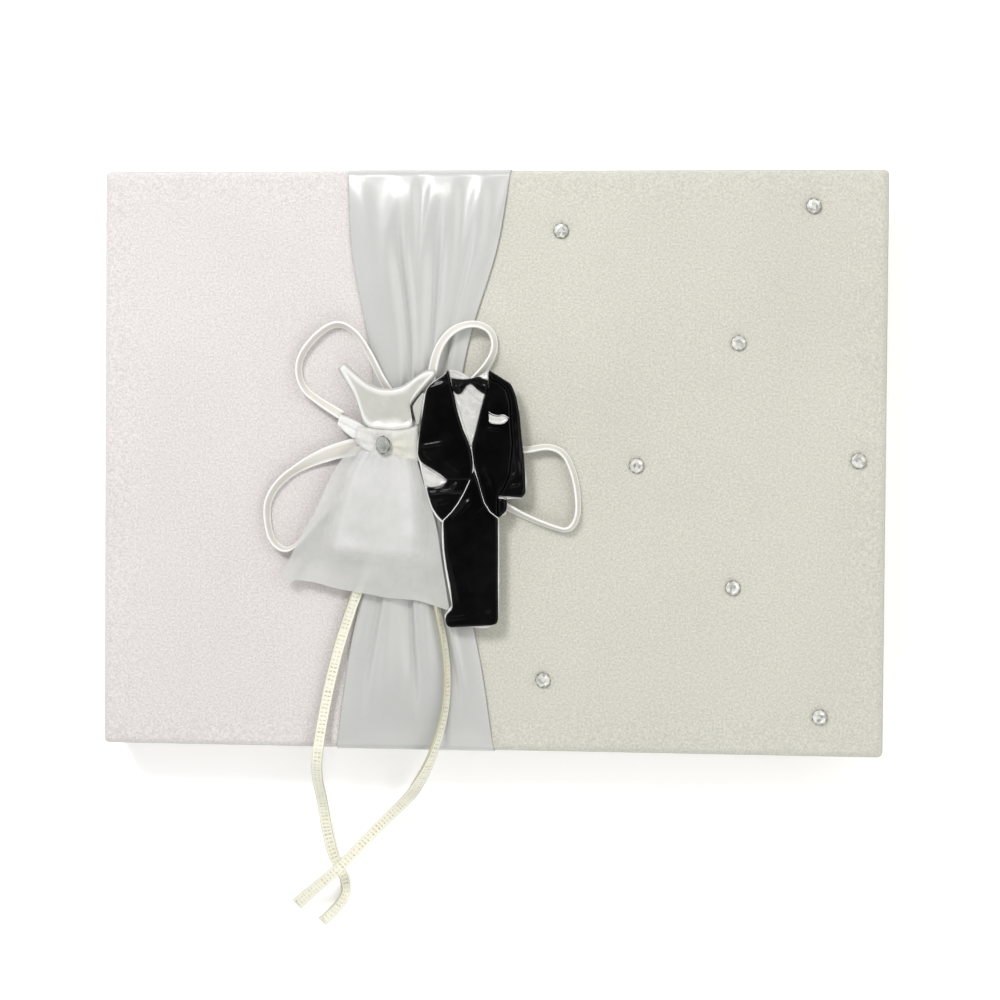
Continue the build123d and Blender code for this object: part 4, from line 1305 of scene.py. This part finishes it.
def makePages():
    # the block's outline carried up through every leaf, each leaf trimmed a hair differently
    leaves = pageShape["leaves"]
    draw = np.random.default_rng(5)
    cut = draw.uniform(-pageShape["unevenness"], 0.0, leaves)
    levels, insets = [], []
    tall = (blockHigh[2] - blockLow[2]) / leaves
    for k in range(leaves):
        foot = blockLow[2] + k * tall
        levels += [foot, foot + 0.2 * tall, foot + 0.8 * tall]
        insets += [pageShape["groove"], -cut[k], -cut[k]]
    levels.append(blockHigh[2])
    insets.append(pageShape["topInset"])
    levels, insets = np.array(levels), np.array(insets)
    count = pageShape["perSide"]
    x0, y0, x1, y1 = blockLow[0], blockLow[1], blockHigh[0], blockHigh[1]
    corners = [(x0, y0), (x1, y0), (x1, y1), (x0, y1), (x0, y0)]
    sides = [np.linspace(start, end, count)[:-1] for start, end in zip(corners, corners[1:])]
    loop = np.concatenate(sides)
    middle = np.array([(x0 + x1) / 2, (y0 + y1) / 2])
    size = np.array([x1 - x0, y1 - y0])
    rings = middle + (loop - middle)[None] * (1 - 2 * insets[:, None, None] / size)
    points = np.concatenate([rings, np.broadcast_to(levels[:, None, None],
                                                    (*rings.shape[:2], 1))], -1)
    block = meshPiece("page_block", closedLoft(points), materials["pageEdges"],
                      body="back_cover", smooth=False)
    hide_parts("page_sections")


makePages()


hingeShape = {"clear": 0.08, "bow": 0.12, "thickness": 0.3, "inset": 0.6}


def hingeCloth(name, low, high):
    # a strip of satin over a joint, on the outside of the case, bowed out at the joint
    rows, columns = 24, 90
    t = np.linspace(0, 1, rows)
    reach = spineHigh[1] - hingeShape["inset"]
    y = np.linspace(-reach, reach, columns)
    bow = hingeShape["bow"] * np.sin(np.pi * t)
    outside = spineLow[0] - hingeShape["clear"] - bow
    z = low + (high - low) * t
    front = np.stack([np.broadcast_to(outside[:, None], (rows, columns)),
                      np.broadcast_to(y, (rows, columns)),
                      np.broadcast_to(z[:, None], (rows, columns))], -1)
    uv = np.stack([np.broadcast_to(y, (rows, columns)),
                   np.broadcast_to(z[:, None], (rows, columns))], -1)
    cloth = meshPiece(name, (front.reshape(-1, 3), gridFaces(rows, columns),
                             uv.reshape(-1, 2)), materials["caseSatin"], body=None,
                      recalc=False)
    skin = cloth.modifiers.new("thickness", "SOLIDIFY")
    skin.thickness = hingeShape["thickness"] * mm
    skin.offset = -1
    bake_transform(cloth)


jointZ = (spineHigh[2] + coverUnder) / 2
footZ = (spineLow[2] + boxMm("back_endpaper")[1][2]) / 2
hingeCloth("front_hinge_cloth", jointZ - 2.2, jointZ + 2.0)
hingeCloth("back_hinge_cloth", footZ - 1.6, footZ + 2.4)
print("pages and hinges made")

# CAD nodes that show as they are get their finish here
for node, finish in {
        "back_board": "binderBoard", "front_board": "binderBoard", "spine_board": "binderBoard",
        "back_endpaper": "laidEndpaper", "front_endpaper": "laidEndpaper",
        "spine_mull": "gauzeMull", "flyleaf": "leafPaper", "second_leaf": "leafPaper",
        "third_leaf": "leafPaper", "groom_base": "whiteResin",
        "spine_satin": "caseSatin"}.items():
    mesh = nodes[node].data
    mesh.materials.clear()
    mesh.materials.append(materials[finish])


floorShape = {"reach": 3.0, "grey": 0.93, "glow": 0.22}


def makeFloor():
    # one big square at table height that glows a little, so that it stays white
    mesh = bpy.data.meshes.new("floor")
    reach, grey = floorShape["reach"], floorShape["grey"]
    mesh.from_pydata([(-reach, -reach, 0), (reach, -reach, 0), (reach, reach, 0),
                      (-reach, reach, 0)], [], [(0, 1, 2, 3)])
    floor = bpy.data.objects.new("floor", mesh)
    bpy.context.scene.collection.objects.link(floor)
    pale, tree, shader = newMaterial("paleFloor")
    feed(tree, shader, {"Base Color": (grey, grey, grey, 1), "Roughness": 0.9,
                        "Specular IOR Level": 0.1, "Emission Color": (1, 1, 1, 1),
                        "Emission Strength": floorShape["glow"]})
    mesh.materials.append(pale)


lamps = {
    "keyLamp": dict(place=(-0.38, 0.60, 0.85), size=0.32, power=7.4, colour=(1.0, 0.985, 0.98)),
    "fillLamp": dict(place=(0.8, 0.3, 0.9), size=1.0, power=3.4, colour=(1.0, 0.98, 0.93)),
    "frontLamp": dict(place=(0.35, -1.1, 0.8), size=1.2, power=4.9, colour=(1.0, 1.0, 0.97)),
}


# the sky is darker straight overhead, where flat glossy faces would mirror it
sky = {"strength": 0.74, "overhead": (0.86, 0.97), "dimmed": 0.05}


def makeLights():
    # round lamps turned towards the book, and the sky
    for name, values in lamps.items():
        light = bpy.data.lights.new(name, "AREA")
        light.shape = "DISK"
        light.size = values["size"]
        light.energy = values["power"]
        light.color = values["colour"]
        lamp = bpy.data.objects.new(name, light)
        lamp.location = values["place"]
        lamp.rotation_euler = (-Vector(values["place"])).to_track_quat("-Z", "Y").to_euler()
        bpy.context.scene.collection.objects.link(lamp)
    world = bpy.data.worlds.new("studio")
    bpy.context.scene.world = world
    world.use_nodes = True
    tree = world.node_tree
    background = tree.nodes["Background"]
    split = put(tree, "SeparateXYZ", {0: put(tree, "TexCoord").outputs["Generated"]})
    overhead = spread(tree, split.outputs["Z"], *sky["overhead"], 1.0, sky["dimmed"],
                      "SMOOTHSTEP")
    feed(tree, background, {"Color": overhead, "Strength": sky["strength"]})


makeFloor()
makeLights()
bpy.context.scene.view_settings.view_transform = "Standard"

print("scene ready")
